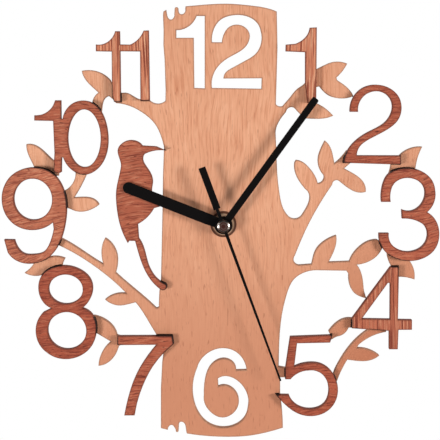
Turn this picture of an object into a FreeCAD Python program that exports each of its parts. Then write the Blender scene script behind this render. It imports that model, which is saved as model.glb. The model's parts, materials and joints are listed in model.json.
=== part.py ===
import FreeCAD, Part

import math
import os
import re

# Tree wall clock: a laser-cut plywood tree with a woodpecker, hung by its quartz movement.
# The front faces -Y, +X is to the right, +Z is up. The origin is where the hand axis meets the wall.

# Driving dimensions, in millimetres and degrees, with a note for each.
DIMENSIONS = [
    ("clock_width", 300.0, "widest place, from the bowl of the 9 to the bowl of the 3"),
    ("plate_thickness", 4.0, "plywood of the tree and of the pale twigs"),
    ("numeral_thickness", 4.0, "plywood of the dark numerals and of the bird"),
    ("axis_hole_radius", 4.15, "hole in the tree for the threaded collar"),
    ("case_depth", 16.0, "movement, from the wall to its front face"),
    ("case_corner", 3.0, "corner radius of the case"),
    ("case_wall", 1.5, "side wall of the case"),
    ("case_front_wall", 2.0, "front wall of the case over the gear train"),
    ("cover_thickness", 1.6, "back cover and its hanger"),
    ("bay_wall", 1.2, "partition between battery and train"),
    ("train_gap", 0.9, "between the centre wheel and the partition"),
    ("bay_front_wall", 0.6, "thin front wall of the battery bay"),
    ("battery_radius", 7.25, "AA cell"),
    ("battery_length", 48.9, "AA cell without its nub"),
    ("nub_radius", 2.6, "positive nub"),
    ("nub_length", 1.2, "positive nub"),
    ("battery_clearance", 0.35, "all round the cell in its bay"),
    ("battery_back_gap", 0.6, "from the wall to the cell"),
    ("contact_thickness", 0.4, "sheet of the battery contacts"),
    ("contact_width", 9.0, "battery contacts"),
    ("contact_gap", 0.05, "between the cell and its contacts"),
    ("spring_radius", 3.0, "raised middle of the negative contact"),
    ("spring_length", 2.0, "raised middle of the negative contact"),
    ("hanger_width", 18.0, "hanger tab above the case"),
    ("hanger_rise", 14.0, "hanger tab, from the case's top to its own"),
    ("nail_hole_radius", 2.6, "hole for the nail"),
    ("collar_radius", 4.0, "threaded collar, M8"),
    ("collar_length", 8.6, "threaded collar, in front of the case"),
    ("rubber_radius", 12.0, "rubber washer behind the tree"),
    ("rubber_thickness", 0.8, "rubber washer behind the tree"),
    ("washer_radius", 9.0, "brass washer in front of the tree"),
    ("washer_thickness", 0.8, "brass washer in front of the tree"),
    ("nut_across_flats", 10.0, "hexagon nut"),
    ("nut_thickness", 2.4, "hexagon nut"),
    ("thread_clearance", 0.1, "washers and nut round the collar"),
    ("running_clearance", 0.08, "pipes, arbors and pivots in their bearings"),
    ("press_clearance", 0.02, "hands and knob on their shafts"),
    ("hour_pipe_radius", 2.55, "outside of the hour pipe"),
    ("minute_pipe_radius", 1.65, "outside of the minute pipe"),
    ("second_arbor_radius", 0.55, "second arbor"),
    ("arbor_radius", 0.5, "arbors of the rotor, the intermediate and the third wheel"),
    ("stem_radius", 0.9, "setting stem"),
    ("stem_pivot", 1.0, "setting stem, into the front wall"),
    ("hand_thickness", 0.8, "hour and minute hands"),
    ("second_thickness", 0.5, "second hand"),
    ("hand_air", 0.9, "from the numerals to the hour hand"),
    ("hand_gap", 1.5, "between one hand and the next"),
    ("collet_length", 0.8, "tubes behind the hubs of the hands"),
    ("collet_wall", 0.8, "tubes behind the hubs of the hands"),
    ("pipe_stand", 0.4, "pipes past the fronts of their hands"),
    ("hour_hand_length", 73.0, "from the axis to the tip"),
    ("hour_hand_width", 7.7, "straight bar"),
    ("hour_neck_width", 6.9, "bar where it meets its hub"),
    ("hour_hub_radius", 6.2, "round hub"),
    ("hour_hand_angle", 291.7, "degrees clockwise from 12"),
    ("minute_hand_length", 105.8, "from the axis to the tip"),
    ("minute_hand_width", 4.8, "straight bar"),
    ("minute_hub_radius", 5.5, "round hub"),
    ("minute_tip_chamfer", 0.8, "corners of the tip"),
    ("minute_hand_angle", 35.8, "degrees clockwise from 12"),
    ("second_hand_length", 115.0, "from the axis to the tip"),
    ("second_root_width", 2.2, "needle at the hub"),
    ("second_tip_width", 1.3, "needle at the tip"),
    ("second_hub_radius", 3.6, "round hub"),
    ("second_hand_angle", 159.9, "degrees clockwise from 12"),
    ("tail_start", 12.3, "from the axis to the wide part of the tail"),
    ("tail_end", 42.3, "from the axis to the end of the tail"),
    ("tail_start_width", 4.8, "wide part of the tail, near the hub"),
    ("tail_end_width", 4.8, "wide part of the tail, at its end"),
    ("tail_neck_width", 2.2, "thin part of the tail"),
    ("cap_radius", 4.35, "polished boss on the second hand"),
    ("cap_rim", 0.7, "straight rim of the boss"),
    ("cap_crown", 1.3, "dome of the boss"),
    ("wheel_thickness", 0.8, "train wheels"),
    ("pinion_reach", 0.15, "pinions past the wheels that they drive"),
    ("layer_gap", 0.45, "air between wheels that pass each other"),
    ("wall_gap", 0.35, "air between the hour wheel and the front wall"),
    ("third_distance", 10.1, "hand axis to the third wheel"),
    ("third_angle", 60.0, "degrees, from +X towards +Z"),
    ("motion_distance", 10.9, "hand axis to the setting stem"),
    ("motion_angle", 165.0, "degrees, from +X towards +Z"),
    ("intermediate_distance", 7.3, "hand axis to the intermediate wheel"),
    ("intermediate_angle", -30.0, "degrees, from +X towards +Z"),
    ("rotor_distance", 6.6, "intermediate wheel to the rotor"),
    ("rotor_angle", 20.0, "degrees, from +X towards +Z"),
    ("plate_gap", 0.4, "air between the bearing plate and the wheels beside it"),
    ("bearing_thickness", 1.0, "bearing plate and circuit board"),
    ("bearing_left", 14.0, "bearing plate, left of the hand axis"),
    ("bearing_top", 17.4, "bearing plate, above the hand axis"),
    ("edge_gap", 0.4, "plates, short of the case's walls"),
    ("post_radius", 1.4, "posts in the case"),
    ("post_inset", 1.9, "posts, in from the plates' edges"),
    ("boss_radius", 1.4, "pivot bosses of the back cover"),
    ("boss_length", 1.2, "pivot bosses of the back cover"),
    ("magnet_radius", 1.9, "rotor magnet"),
    ("stator_gap", 0.4, "air round the magnet"),
    ("stator_leg", 2.4, "legs of the stator"),
    ("stator_foot", 3.7, "stator, below the rotor's centre"),
    ("stator_reach", 10.9, "stator, right of the rotor's centre"),
    ("stator_left", 4.1, "stator, left of the rotor's centre"),
    ("coil_gap", 0.7, "between the coil and the third wheel"),
    ("coil_headroom", 0.7, "between the coil and the case's top wall"),
    ("coil_radius", 3.1, "winding"),
    ("core_radius", 1.1, "core of the bobbin"),
    ("bobbin_flange", 3.6, "flanges of the bobbin"),
    ("flange_thickness", 0.8, "flanges of the bobbin"),
    ("board_gap", 0.6, "between the bearing plate and the circuit board"),
    ("board_foot", 4.0, "circuit board, below the hand axis"),
    ("crystal_radius", 1.0, "quartz crystal can"),
    ("crystal_length", 6.0, "quartz crystal can"),
    ("chip_radius", 2.5, "resin drop over the chip"),
    ("chip_height", 1.1, "resin drop over the chip"),
    ("knob_radius", 5.2, "setting knob"),
    ("knob_thickness", 2.6, "setting knob"),
    ("knob_gap", 0.4, "from the wall to the knob"),
    ("knob_clearance", 0.5, "hole in the cover round the knob"),
    ("knurl_depth", 0.3, "grooves of the knob"),
    ("screw_radius", 1.0, "shank of the cover screws"),
    ("screw_head_radius", 1.9, "head of the cover screws"),
    ("screw_head", 0.7, "head of the cover screws"),
    ("screw_slot", 0.4, "slot in each screw head"),
    ("screw_length", 5.0, "shank of the cover screws"),
    ("screw_pillar_radius", 2.1, "pillars that take the cover screws"),
    ("overrun", 0.5, "cuts run this far past what they cut"),
]

# Teeth of each wheel and pinion.
ROTOR_PINION_TEETH = 10
INTERMEDIATE_TEETH = 50
INTERMEDIATE_PINION_TEETH = 8
SECOND_TEETH = 48
SECOND_PINION_TEETH = 8
THIRD_TEETH = 60
THIRD_PINION_TEETH = 8
CENTRE_TEETH = 64
CENTRE_PINION_TEETH = 12
MOTION_TEETH = 36
MOTION_PINION_TEETH = 10
HOUR_TEETH = 40
KNOB_GROOVE_COUNT = 36

# Tooth form, as shares of the module and of the tooth pitch.
ADDENDUM_SHARE = 0.75
DEDENDUM_SHARE = 1.15
ROOT_WIDTH_SHARE = 0.56
PITCH_WIDTH_SHARE = 0.38
TIP_WIDTH_SHARE = 0.18

# The photograph's view, in its own pixels. The clock is seen from a little above.
CLOCK_WIDTH_PX = 438.0
VIEW_DISTANCE_PX = 1066.0
VIEW_ELEVATION_DEG = 8.0
IMAGE_CENTRE_PX = (220.0, 220.0)
HAND_AXIS_PX = (223.4, 224.1)

# Outlines in photograph pixels, clockwise. Each starts with a point, and each list after it is a
# stretch from the last point: one point ends a straight line, two make an arc, more make a curve.
TREE_PX = [
    (163.0, 15.0),
    [(163.4, 11.5)],
    [(166.2, 9.8)],
    [(167.0, 15.0), (168.6, 18.4), (170.8, 19.6), (173.0, 18.4), (174.3, 14.5)],
    [(174.7, 8.5)],
    [(176.6, 7.1), (178.4, 8.5)],
    [(178.6, 11.4), (180.0, 13.7), (182.0, 14.2), (184.2, 13.0), (185.2, 9.4)],
    [(185.5, 6.3)],
    [(205.0, 4.6), (228.0, 3.7), (251.5, 5.6), (267.0, 8.1), (276.8, 11.5)],
    [(277.2, 31.0)],
    [(277.5, 48.0)],
    [(275.9, 104.2)],
    [(279.0, 106.3), (282.6, 106.2)],
    [(286.0, 102.3), (290.0, 97.7), (295.0, 91.4), (301.5, 86.2)],
    [(306.0, 82.0), (311.0, 75.0), (316.5, 69.2)],
    [(324.5, 65.2), (334.0, 61.8), (342.0, 62.0), (347.3, 63.7)],
    [(342.3, 71.5), (336.5, 77.6)],
    [(337.0, 80.0)],
    [(343.8, 84.6), (348.6, 88.8), (353.5, 96.2)],
    [(346.2, 98.3), (337.0, 98.2), (329.2, 95.8), (323.6, 91.4), (319.5, 86.5)],
    [(312.0, 88.0)],
    [(313.0, 102.0)],
    [(320.7, 105.2), (327.0, 109.6), (333.3, 115.7)],
    [(326.0, 118.2), (314.0, 118.9), (305.3, 118.5)],
    [(299.5, 113.5), (294.9, 108.5)],
    [(290.5, 107.3), (286.1, 111.9)],
    [(279.9, 120.1), (276.3, 128.0), (275.7, 134.7)],
    [(276.7, 160.1)],
    [(277.5, 176.2), (279.5, 193.2), (283.0, 207.8), (289.0, 216.9)],
    [(295.0, 218.9), (301.5, 215.9)],
    [(306.1, 208.5), (308.8, 202.4), (309.6, 196.8), (305.3, 189.3)],
    [(297.6, 178.5), (294.7, 170.5), (294.6, 162.5)],
    [(296.1, 160.1)],
    [(303.0, 162.2), (310.2, 168.8), (315.3, 176.2), (317.8, 183.4)],
    [(321.6, 182.0), (323.8, 175.5)],
    [(318.9, 167.0), (318.0, 159.0), (320.6, 149.5), (325.0, 140.6)],
    [(330.4, 147.2), (333.2, 156.5), (334.5, 163.5)],
    [(340.5, 158.2), (346.5, 150.8)],
    [(352.0, 148.5)],
    [(356.0, 156.0)],
    [(350.0, 163.5)],
    [(344.2, 168.5)],
    [(355.4, 174.7), (362.6, 180.8), (365.8, 192.0)],
    [(354.6, 191.6), (345.4, 186.2), (339.2, 181.2)],
    [(335.4, 180.4), (332.4, 184.4)],
    [(320.7, 202.4), (307.2, 227.0), (300.0, 243.0), (294.8, 255.8)],
    [(294.6, 262.6), (299.5, 265.2)],
    [(311.6, 264.3)],
    [(313.0, 258.0), (315.6, 250.5), (322.7, 242.4), (336.3, 235.4)],
    [(336.2, 243.6), (333.0, 253.5), (328.6, 262.2)],
    [(349.4, 261.4)],
    [(353.0, 254.2), (359.6, 246.8), (367.0, 241.8), (377.0, 239.6)],
    [(383.0, 243.0)],
    [(382.0, 249.0)],
    [(376.0, 257.0), (367.6, 262.2), (357.0, 264.8)],
    [(360.6, 271.0), (362.9, 280.0), (363.8, 290.0)],
    [(366.4, 298.5)],
    [(360.0, 296.5), (353.8, 292.6), (350.2, 286.5), (348.8, 274.5)],
    [(346.4, 270.8)],
    [(316.7, 270.3)],
    [(303.3, 273.0), (293.8, 279.6), (288.4, 289.5), (285.1, 300.4)],
    [(281.6, 317.0), (279.7, 335.1), (278.7, 366.9)],
    [(289.0, 368.6)],
    [(289.0, 377.4)],
    [(280.2, 377.4)],
    [(280.2, 394.7)],
    [(282.2, 411.0), (282.9, 427.8)],
    [(266.0, 432.6), (248.0, 435.9), (226.0, 436.9), (205.9, 436.0), (186.9, 433.6)],
    [(185.8, 427.8), (183.8, 422.9), (181.2, 421.8), (178.9, 424.4)],
    [(178.5, 431.3)],
    [(177.2, 432.2), (175.8, 431.0)],
    [(174.4, 427.3), (171.4, 425.0), (169.0, 426.4), (167.8, 430.0)],
    [(160.9, 428.2)],
    [(160.9, 388.0)],
    [(162.2, 362.0)],
    [(163.5, 352.0)],
    [(156.0, 334.0)],
    [(150.0, 324.0), (141.0, 309.4), (135.6, 302.4)],
    [(127.0, 304.6), (119.0, 305.6), (110.2, 303.2), (105.1, 299.6)],
    [(112.0, 295.2), (126.5, 293.6)],
    [(113.3, 281.0), (98.0, 268.8), (80.0, 256.6), (57.0, 244.6)],
    [(60.0, 237.6)],
    [(79.6, 249.0), (91.8, 257.2), (103.4, 264.4)],
    [(101.6, 256.0), (101.9, 246.5), (105.1, 238.0)],
    [(112.6, 244.6), (117.2, 254.6), (117.6, 264.0), (115.8, 272.9)],
    [(132.7, 287.6), (149.0, 301.4), (154.6, 306.6)],
    [(157.6, 308.0), (158.8, 305.0)],
    [(159.3, 292.0)],
    [(161.0, 278.0)],
    [(162.5, 210.0)],
    [(163.0, 175.0)],
    [(164.0, 147.0)],
    [(161.2, 136.8), (154.6, 123.6), (143.5, 113.4), (130.1, 106.2), (116.0, 103.2)],
    [(112.5, 99.0)],
    [(109.0, 96.2)],
    [(104.4, 99.2), (102.2, 105.5), (101.5, 113.0)],
    [(92.5, 108.0)],
    [(93.0, 99.4), (98.3, 92.6)],
    [(90.6, 85.6), (84.8, 78.8), (81.7, 70.8)],
    [(91.0, 70.2), (101.5, 73.2), (110.4, 80.2)],
    [(116.0, 92.0)],
    [(122.4, 92.9)],
    [(130.2, 94.4), (137.0, 98.4), (143.0, 99.4)],
    [(149.4, 100.0)],
    [(156.4, 103.6), (165.4, 100.8)],
    [(165.6, 90.0)],
    [(164.6, 60.0)],
    [(163.4, 45.0)],
    [(163.6, 30.0)],
]
TWELVE_ONE_PX = [
    (176.2, 30.0),
    [(186.0, 27.8), (192.8, 22.4), (196.6, 15.8)],
    [(204.7, 15.8)],
    [(204.7, 88.4)],
    [(194.3, 88.0)],
    [(193.7, 37.8)],
    [(176.2, 37.8)],
]
TWELVE_TWO_PX = [
    (212.0, 42.2),
    [(213.5, 30.0), (220.4, 19.8), (231.5, 15.3), (243.8, 15.3), (254.9, 20.4), (260.8, 31.0)],
    [(261.2, 43.0), (256.2, 53.2), (247.0, 59.8), (232.2, 67.8), (225.2, 73.0), (223.4, 78.6)],
    [(261.8, 78.3)],
    [(261.5, 88.8)],
    [(212.0, 88.0)],
    [(212.6, 77.0), (217.2, 67.6), (229.2, 57.4), (244.5, 48.0), (249.9, 36.6)],
    [(246.6, 28.6), (237.6, 24.6), (229.2, 26.9), (224.2, 33.1), (221.8, 42.3)],
]
SIX_PX = [
    (246.4, 370.2),
    [(243.6, 360.4), (236.3, 352.2), (223.0, 348.2), (208.0, 353.0), (197.4, 367.2)],
    [(192.8, 386.0), (195.6, 406.7), (205.9, 421.8), (222.2, 427.8), (238.4, 423.6), (247.8, 408.0)],
    [(247.4, 395.0), (239.5, 382.4), (226.0, 376.2), (217.9, 378.5)],
    [(218.4, 386.6)],
    [(230.4, 387.2), (238.6, 398.0), (235.4, 411.0), (222.7, 417.6), (210.0, 411.6), (203.8, 395.8)],
    [(205.6, 376.6), (212.6, 363.6), (223.8, 358.8), (232.4, 362.0), (236.2, 370.4)],
]
ONE_PX = [
    (285.7, 51.4),
    [(285.9, 44.6)],
    [(295.3, 43.8)],
    [(302.2, 40.2), (307.4, 34.8), (309.9, 27.7)],
    [(316.9, 27.3)],
    [(316.3, 103.0)],
    [(307.5, 103.0)],
    [(305.3, 83.0)],
    [(305.3, 52.2)],
]
TWO_PX = [
    (350.0, 111.9),
    [(351.4, 101.8), (357.2, 92.2), (366.4, 86.2), (377.0, 84.7), (388.6, 87.6), (397.7, 95.0)],
    [(401.6, 106.0), (398.8, 119.0), (388.0, 129.2), (370.0, 138.9), (360.4, 146.0), (356.9, 155.5)],
    [(401.0, 155.6)],
    [(401.0, 164.7)],
    [(343.8, 162.9)],
    [(346.6, 152.4), (355.8, 140.6), (370.8, 130.8), (385.4, 122.0), (392.3, 109.2), (390.8, 99.6)],
    [(384.0, 93.0), (374.6, 91.4), (364.8, 95.4), (359.2, 103.4), (358.2, 111.9)],
]
THREE_PX = [
    (381.5, 202.0),
    [(382.6, 185.6), (389.2, 173.4), (401.5, 168.6), (415.4, 169.0), (429.4, 176.8), (435.2, 190.0)],
    [(433.8, 203.4), (427.4, 212.2)],
    [(436.4, 221.4), (439.4, 233.4), (434.8, 249.6), (420.0, 259.6), (402.0, 260.4), (386.6, 253.2)],
    [(380.6, 244.4), (379.0, 233.2)],
    [(388.9, 233.2)],
    [(391.8, 244.4), (400.6, 250.6), (413.0, 251.2), (424.0, 244.8), (427.6, 234.0), (422.6, 224.0)],
    [(413.0, 219.7), (402.3, 218.7)],
    [(401.8, 209.5)],
    [(417.4, 208.2), (424.4, 198.4), (423.6, 186.4), (414.4, 179.2), (400.8, 179.2), (392.7, 185.8)],
    [(390.5, 194.0), (390.8, 202.0)],
]
FOUR_PX = [
    (390.6, 266.9),
    [(399.1, 266.9)],
    [(398.0, 319.9)],
    [(412.1, 320.1)],
    [(412.0, 329.9)],
    [(398.6, 330.0)],
    [(397.8, 349.4)],
    [(389.3, 349.4)],
    [(389.3, 331.0)],
    [(351.9, 328.4)],
    [(351.9, 319.0)],
    [(365.4, 300.6)],
]
FOUR_GAP_PX = [
    (361.8, 319.0),
    [(387.0, 284.4)],
    [(388.4, 283.0), (390.3, 284.4)],
    [(390.1, 319.5)],
]
FIVE_PX = [
    (290.1, 336.9),
    [(332.4, 335.3)],
    [(330.2, 342.7)],
    [(297.1, 343.4)],
    [(294.3, 366.8)],
    [(307.0, 363.0), (322.1, 364.6), (334.0, 375.4), (338.0, 389.5), (331.8, 407.2)],
    [(318.0, 415.4), (301.0, 414.8), (286.3, 405.8), (276.0, 395.0)],
    [(289.0, 395.2)],
    [(297.0, 405.6), (310.6, 409.2), (323.4, 404.6), (328.7, 390.0), (323.4, 375.6), (309.0, 370.6)],
    [(297.6, 373.6), (290.6, 379.4)],
    [(285.2, 379.4)],
    [(285.2, 369.6)],
]
SEVEN_PX = [
    (117.3, 336.2),
    [(172.0, 336.0)],
    [(173.4, 344.4)],
    [(165.4, 351.6), (155.8, 362.4), (145.2, 380.6), (138.6, 398.0), (134.6, 415.5)],
    [(124.2, 415.6)],
    [(128.4, 396.5), (135.7, 376.1), (145.2, 359.6), (156.6, 344.9)],
    [(117.3, 345.2)],
]
EIGHT_PX = [
    (51.4, 308.4),
    [(43.9, 303.2), (38.4, 290.4), (42.2, 274.6), (55.0, 266.8), (71.4, 266.6), (86.4, 274.4)],
    [(92.7, 288.4), (90.4, 298.4), (82.4, 308.2)],
    [(94.0, 317.6), (96.3, 330.0), (92.0, 345.6), (80.0, 356.0), (64.0, 359.2), (47.0, 352.8)],
    [(37.2, 340.0), (36.4, 324.0), (43.0, 312.6)],
]
NINE_PX = [
    (4.0, 239.6),
    [(14.4, 239.8)],
    [(17.4, 247.4), (23.6, 253.4), (33.0, 254.4), (42.6, 252.4), (49.4, 243.6), (53.6, 229.0)],
    [(52.8, 222.7)],
    [(43.6, 228.2), (31.0, 230.2), (17.4, 226.6), (6.9, 217.0), (1.6, 200.0), (5.4, 183.2)],
    [(15.4, 172.4), (33.0, 167.5), (50.8, 172.2), (63.1, 188.4), (66.6, 208.5), (64.4, 228.0)],
    [(58.6, 245.0), (49.0, 257.4), (34.7, 263.5), (18.6, 261.8), (7.6, 252.4)],
]
TEN_PX = [
    (34.2, 120.6),
    [(34.2, 115.4)],
    [(44.4, 113.4), (51.4, 107.8), (54.8, 100.4)],
    [(60.8, 100.4)],
    [(61.0, 118.9)],
    [(62.6, 118.6)],
    [(67.4, 107.8), (75.4, 101.9), (84.6, 100.7), (94.6, 104.2), (103.0, 115.0), (107.5, 130.8)],
    [(107.9, 146.0), (103.6, 161.0), (95.2, 171.0), (83.1, 174.9), (71.0, 169.4), (63.1, 157.6)],
    [(61.5, 157.7)],
    [(61.3, 172.2)],
    [(56.9, 173.2), (53.4, 170.5)],
    [(54.4, 153.0)],
    [(53.0, 121.0)],
]
ELEVEN_PX = [
    (95.8, 51.3),
    [(95.8, 44.4)],
    [(105.0, 43.3), (111.6, 38.2), (115.0, 31.2)],
    [(119.7, 31.2)],
    [(120.0, 44.4)],
    [(130.1, 44.6)],
    [(137.4, 39.8), (143.5, 30.6)],
    [(148.7, 30.4)],
    [(149.8, 100.8)],
    [(140.4, 100.8)],
    [(140.0, 51.5)],
    [(120.2, 51.3)],
    [(120.8, 102.0)],
    [(114.0, 102.0)],
    [(112.0, 96.0)],
    [(111.6, 51.6)],
]
BIRD_PX = [
    (142.4, 145.7),
    [(136.6, 141.2), (129.3, 140.3), (121.6, 143.6), (117.7, 149.6), (119.2, 158.0), (121.0, 166.0)],
    [(119.3, 174.7), (116.2, 190.1), (116.5, 206.2), (119.4, 223.0), (127.9, 243.3)],
    [(129.2, 240.9)],
    [(135.0, 241.0)],
    [(138.6, 253.8), (145.4, 271.5), (160.4, 289.5)],
    [(164.7, 290.0), (165.3, 284.1)],
    [(154.9, 276.5), (148.2, 264.0), (143.9, 248.4), (138.8, 238.4)],
    [(137.8, 224.2)],
    [(146.6, 218.0), (154.2, 208.2)],
    [(166.0, 205.0)],
    [(166.0, 198.0)],
    [(154.0, 197.0)],
    [(151.8, 191.0), (152.8, 182.0), (148.6, 170.0), (143.0, 160.0), (144.4, 154.2)],
    [(152.6, 151.2), (165.3, 150.5)],
    [(156.2, 146.5)],
]
LEAF_TEN_NINE_PX = [
    (35.4, 170.5),
    [(31.6, 161.8), (27.8, 153.4), (26.3, 144.3)],
    [(33.1, 144.7), (43.1, 151.0), (53.4, 160.6)],
    [(58.5, 163.0)],
    [(58.5, 176.0)],
    [(46.0, 172.0)],
]
TWIG_TEN_NINE_PX = [
    (74.6, 168.0),
    [(74.4, 179.6), (70.0, 186.6), (60.5, 192.0)],
    [(61.5, 207.0)],
    [(70.0, 208.7)],
    [(80.8, 211.8), (90.4, 209.9), (99.1, 204.7)],
    [(92.4, 198.6), (83.0, 197.2), (74.2, 197.6)],
    [(81.0, 186.0), (87.5, 172.0)],
    [(88.0, 168.5)],
]
LEAF_NINE_EIGHT_PX = [
    (24.5, 272.9),
    [(32.0, 275.7), (42.5, 275.0)],
    [(48.0, 275.5)],
    [(62.0, 269.0)],
    [(62.6, 263.6), (65.1, 258.6)],
    [(57.1, 256.4), (50.0, 256.8)],
    [(46.0, 253.6)],
    [(34.5, 259.0)],
    [(33.7, 263.7)],
    [(30.4, 267.8), (24.5, 272.9)],
]
LEAVES_EIGHT_SEVEN_PX = [
    (90.0, 318.5),
    [(93.9, 315.6)],
    [(105.1, 319.8), (112.8, 326.4), (117.1, 335.3)],
    [(124.0, 337.5)],
    [(124.0, 343.8)],
    [(118.9, 346.0)],
    [(115.6, 354.4), (108.4, 362.4), (98.5, 365.9)],
    [(99.8, 357.6), (103.8, 349.4), (111.0, 341.8)],
    [(103.1, 337.1), (97.0, 333.4)],
    [(90.6, 333.4)],
]
LEAF_TWO_THREE_PX = [
    (422.3, 146.8),
    [(413.0, 147.6), (403.0, 152.4), (397.5, 158.0)],
    [(391.0, 161.0)],
    [(390.6, 167.8), (388.5, 174.5)],
    [(396.0, 175.5)],
    [(415.2, 173.0)],
    [(416.2, 163.9), (422.3, 146.8)],
]
LEAF_THREE_FOUR_PX = [
    (387.0, 251.5),
    [(388.4, 259.5), (391.6, 266.5)],
    [(391.8, 276.0)],
    [(397.0, 277.0)],
    [(404.8, 277.2), (414.5, 279.6)],
    [(414.2, 270.6), (408.6, 259.5)],
    [(408.0, 255.5)],
]
LEAF_FOUR_FIVE_PX = [
    (328.6, 331.6),
    [(333.6, 325.6), (341.6, 319.8), (352.5, 318.4)],
    [(358.5, 319.5)],
    [(358.5, 327.8)],
    [(348.6, 327.7)],
    [(345.0, 333.0), (336.6, 336.6)],
    [(331.5, 339.6)],
    [(327.5, 339.4)],
    [(327.5, 335.8)],
    [(330.6, 335.6)],
]
TWIG_FOUR_FIVE_PX = [
    (369.0, 326.0),
    [(367.6, 330.1)],
    [(353.5, 342.0), (342.6, 356.2), (334.9, 370.0)],
    [(332.4, 377.0)],
    [(335.6, 384.0)],
    [(337.5, 380.0)],
    [(341.6, 370.2), (347.4, 359.8)],
    [(356.0, 360.9), (367.0, 361.0), (379.3, 355.6)],
    [(370.0, 350.2), (356.8, 348.2)],
    [(358.6, 345.0)],
    [(369.6, 337.4), (386.0, 332.0)],
    [(387.0, 325.5)],
]

# Round holes of the numerals, in photograph pixels: centre, half width and half height.
TEN_HOLE_PX = ((84.2, 138.5), 16.4, 29.0)
NINE_HOLE_PX = ((32.8, 199.4), 19.2, 20.6)
EIGHT_TOP_HOLE_PX = ((65.7, 289.4), 17.0, 14.7)
EIGHT_LOW_HOLE_PX = ((67.0, 330.8), 19.2, 18.6)

doc = FreeCAD.newDocument("TreeWallClock")

# The sheet holds every driving dimension under its own name.
sheet = doc.addObject("Spreadsheet::Sheet", "Dimensions")
for row, (alias, size, note) in enumerate(DIMENSIONS, start=1):
    sheet.set("A%d" % row, note)
    sheet.set("B%d" % row, str(size))
    sheet.setAlias("B%d" % row, alias)
doc.recompute()
SIZE = {alias: float(sheet.get(alias)) for alias, size, note in DIMENSIONS}


def linked(text):
    """Turn a sum of dimension names into an expression on the sheet."""
    return re.sub(r"[a-z][a-z_]+", lambda match: "Dimensions." + match.group(0), text)


# Distances from the wall, as sums of dimensions.
TREE_BACK = "case_depth + rubber_thickness"
TREE_FRONT = TREE_BACK + " + plate_thickness"
NUMERAL_FRONT = TREE_FRONT + " + numeral_thickness"
HOUR_HAND_BACK = NUMERAL_FRONT + " + hand_air"
HOUR_HAND_FRONT = HOUR_HAND_BACK + " + hand_thickness"
MINUTE_HAND_BACK = HOUR_HAND_FRONT + " + hand_gap"
MINUTE_HAND_FRONT = MINUTE_HAND_BACK + " + hand_thickness"
SECOND_HAND_BACK = MINUTE_HAND_FRONT + " + hand_gap"
SECOND_HAND_FRONT = SECOND_HAND_BACK + " + second_thickness"
TRAIN_FRONT = "case_depth - case_front_wall"
HOUR_WHEEL_BACK = TRAIN_FRONT + " - wall_gap - wheel_thickness"
MOTION_WHEEL_FRONT = HOUR_WHEEL_BACK + " - layer_gap"
MOTION_WHEEL_BACK = MOTION_WHEEL_FRONT + " - wheel_thickness"
CENTRE_WHEEL_FRONT = MOTION_WHEEL_BACK + " - layer_gap"
CENTRE_WHEEL_BACK = CENTRE_WHEEL_FRONT + " - wheel_thickness"
THIRD_WHEEL_FRONT = CENTRE_WHEEL_BACK + " - layer_gap"
THIRD_WHEEL_BACK = THIRD_WHEEL_FRONT + " - wheel_thickness"
BEARING_FRONT = THIRD_WHEEL_BACK + " - plate_gap"
BEARING_BACK = BEARING_FRONT + " - bearing_thickness"
SECOND_WHEEL_FRONT = BEARING_BACK + " - plate_gap"
SECOND_WHEEL_BACK = SECOND_WHEEL_FRONT + " - wheel_thickness"
INTERMEDIATE_FRONT = SECOND_WHEEL_BACK + " - layer_gap"
INTERMEDIATE_BACK = INTERMEDIATE_FRONT + " - wheel_thickness"
PIVOT_BACK = "cover_thickness + running_clearance"

# Lengths across the movement, as sums of dimensions.
STATOR_WIDTH = "stator_left + stator_reach"
WINDING_WIDTH = STATOR_WIDTH + 2 * " - stator_leg - stator_gap - flange_thickness"

# Pixels to millimetres.
MM_PER_PX = SIZE["clock_width"] / CLOCK_WIDTH_PX
VIEW_ELEVATION = math.radians(VIEW_ELEVATION_DEG)


def seen_at(pixel, height):
    """The point where the line of sight through a pixel meets a plane in front of the tree."""
    across = (pixel[0] - IMAGE_CENTRE_PX[0]) / VIEW_DISTANCE_PX
    up = (IMAGE_CENTRE_PX[1] - pixel[1]) / VIEW_DISTANCE_PX
    depth = VIEW_DISTANCE_PX * MM_PER_PX * math.cos(VIEW_ELEVATION) - height
    reach = depth / (math.cos(VIEW_ELEVATION) + up * math.sin(VIEW_ELEVATION))
    rise = VIEW_DISTANCE_PX * MM_PER_PX * math.sin(VIEW_ELEVATION)
    rise += reach * (up * math.cos(VIEW_ELEVATION) - math.sin(VIEW_ELEVATION))
    return reach * across, rise


AXIS_SEEN = seen_at(HAND_AXIS_PX, 0)


def spot(pixel, height):
    """A pixel as a sketch point, measured from the hand axis."""
    x, z = seen_at(pixel, height)
    return FreeCAD.Vector(x - AXIS_SEEN[0], z - AXIS_SEEN[1], 0)


def traced(outline, height):
    """Sketch curves for an outline in pixels, seen on the plane at a height in front of the tree."""
    last = spot(outline[0], height)
    edges = []
    for stretch in outline[1:]:
        ends = [spot(pixel, height) for pixel in stretch]
        edges.append(stretch_edge([last] + ends))
        last = ends[-1]
    if outline[-1][-1] != outline[0]:
        edges.append(Part.LineSegment(last, spot(outline[0], height)))
    return edges


def stretch_edge(points):
    """One stretch of an outline: a line, an arc or a smooth curve."""
    if len(points) == 2:
        return Part.LineSegment(points[0], points[1])
    if len(points) == 3:
        return Part.Arc(points[0], points[1], points[2])
    curve = Part.BSplineCurve()
    curve.interpolate(points)
    return curve


def oval(hole, height):
    """A round hole of a numeral, from its centre, half width and half height in pixels."""
    (x, y), half_width, half_height = hole
    centre = spot((x, y), height)
    side = spot((x + half_width, y), height)
    top = spot((x, y - half_height), height)
    wide = centre.distanceToPoint(side)
    tall = centre.distanceToPoint(top)
    if wide >= tall:
        return Part.Ellipse(side, top, centre)
    return Part.Ellipse(top, spot((x - half_width, y), height), centre)


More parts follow.
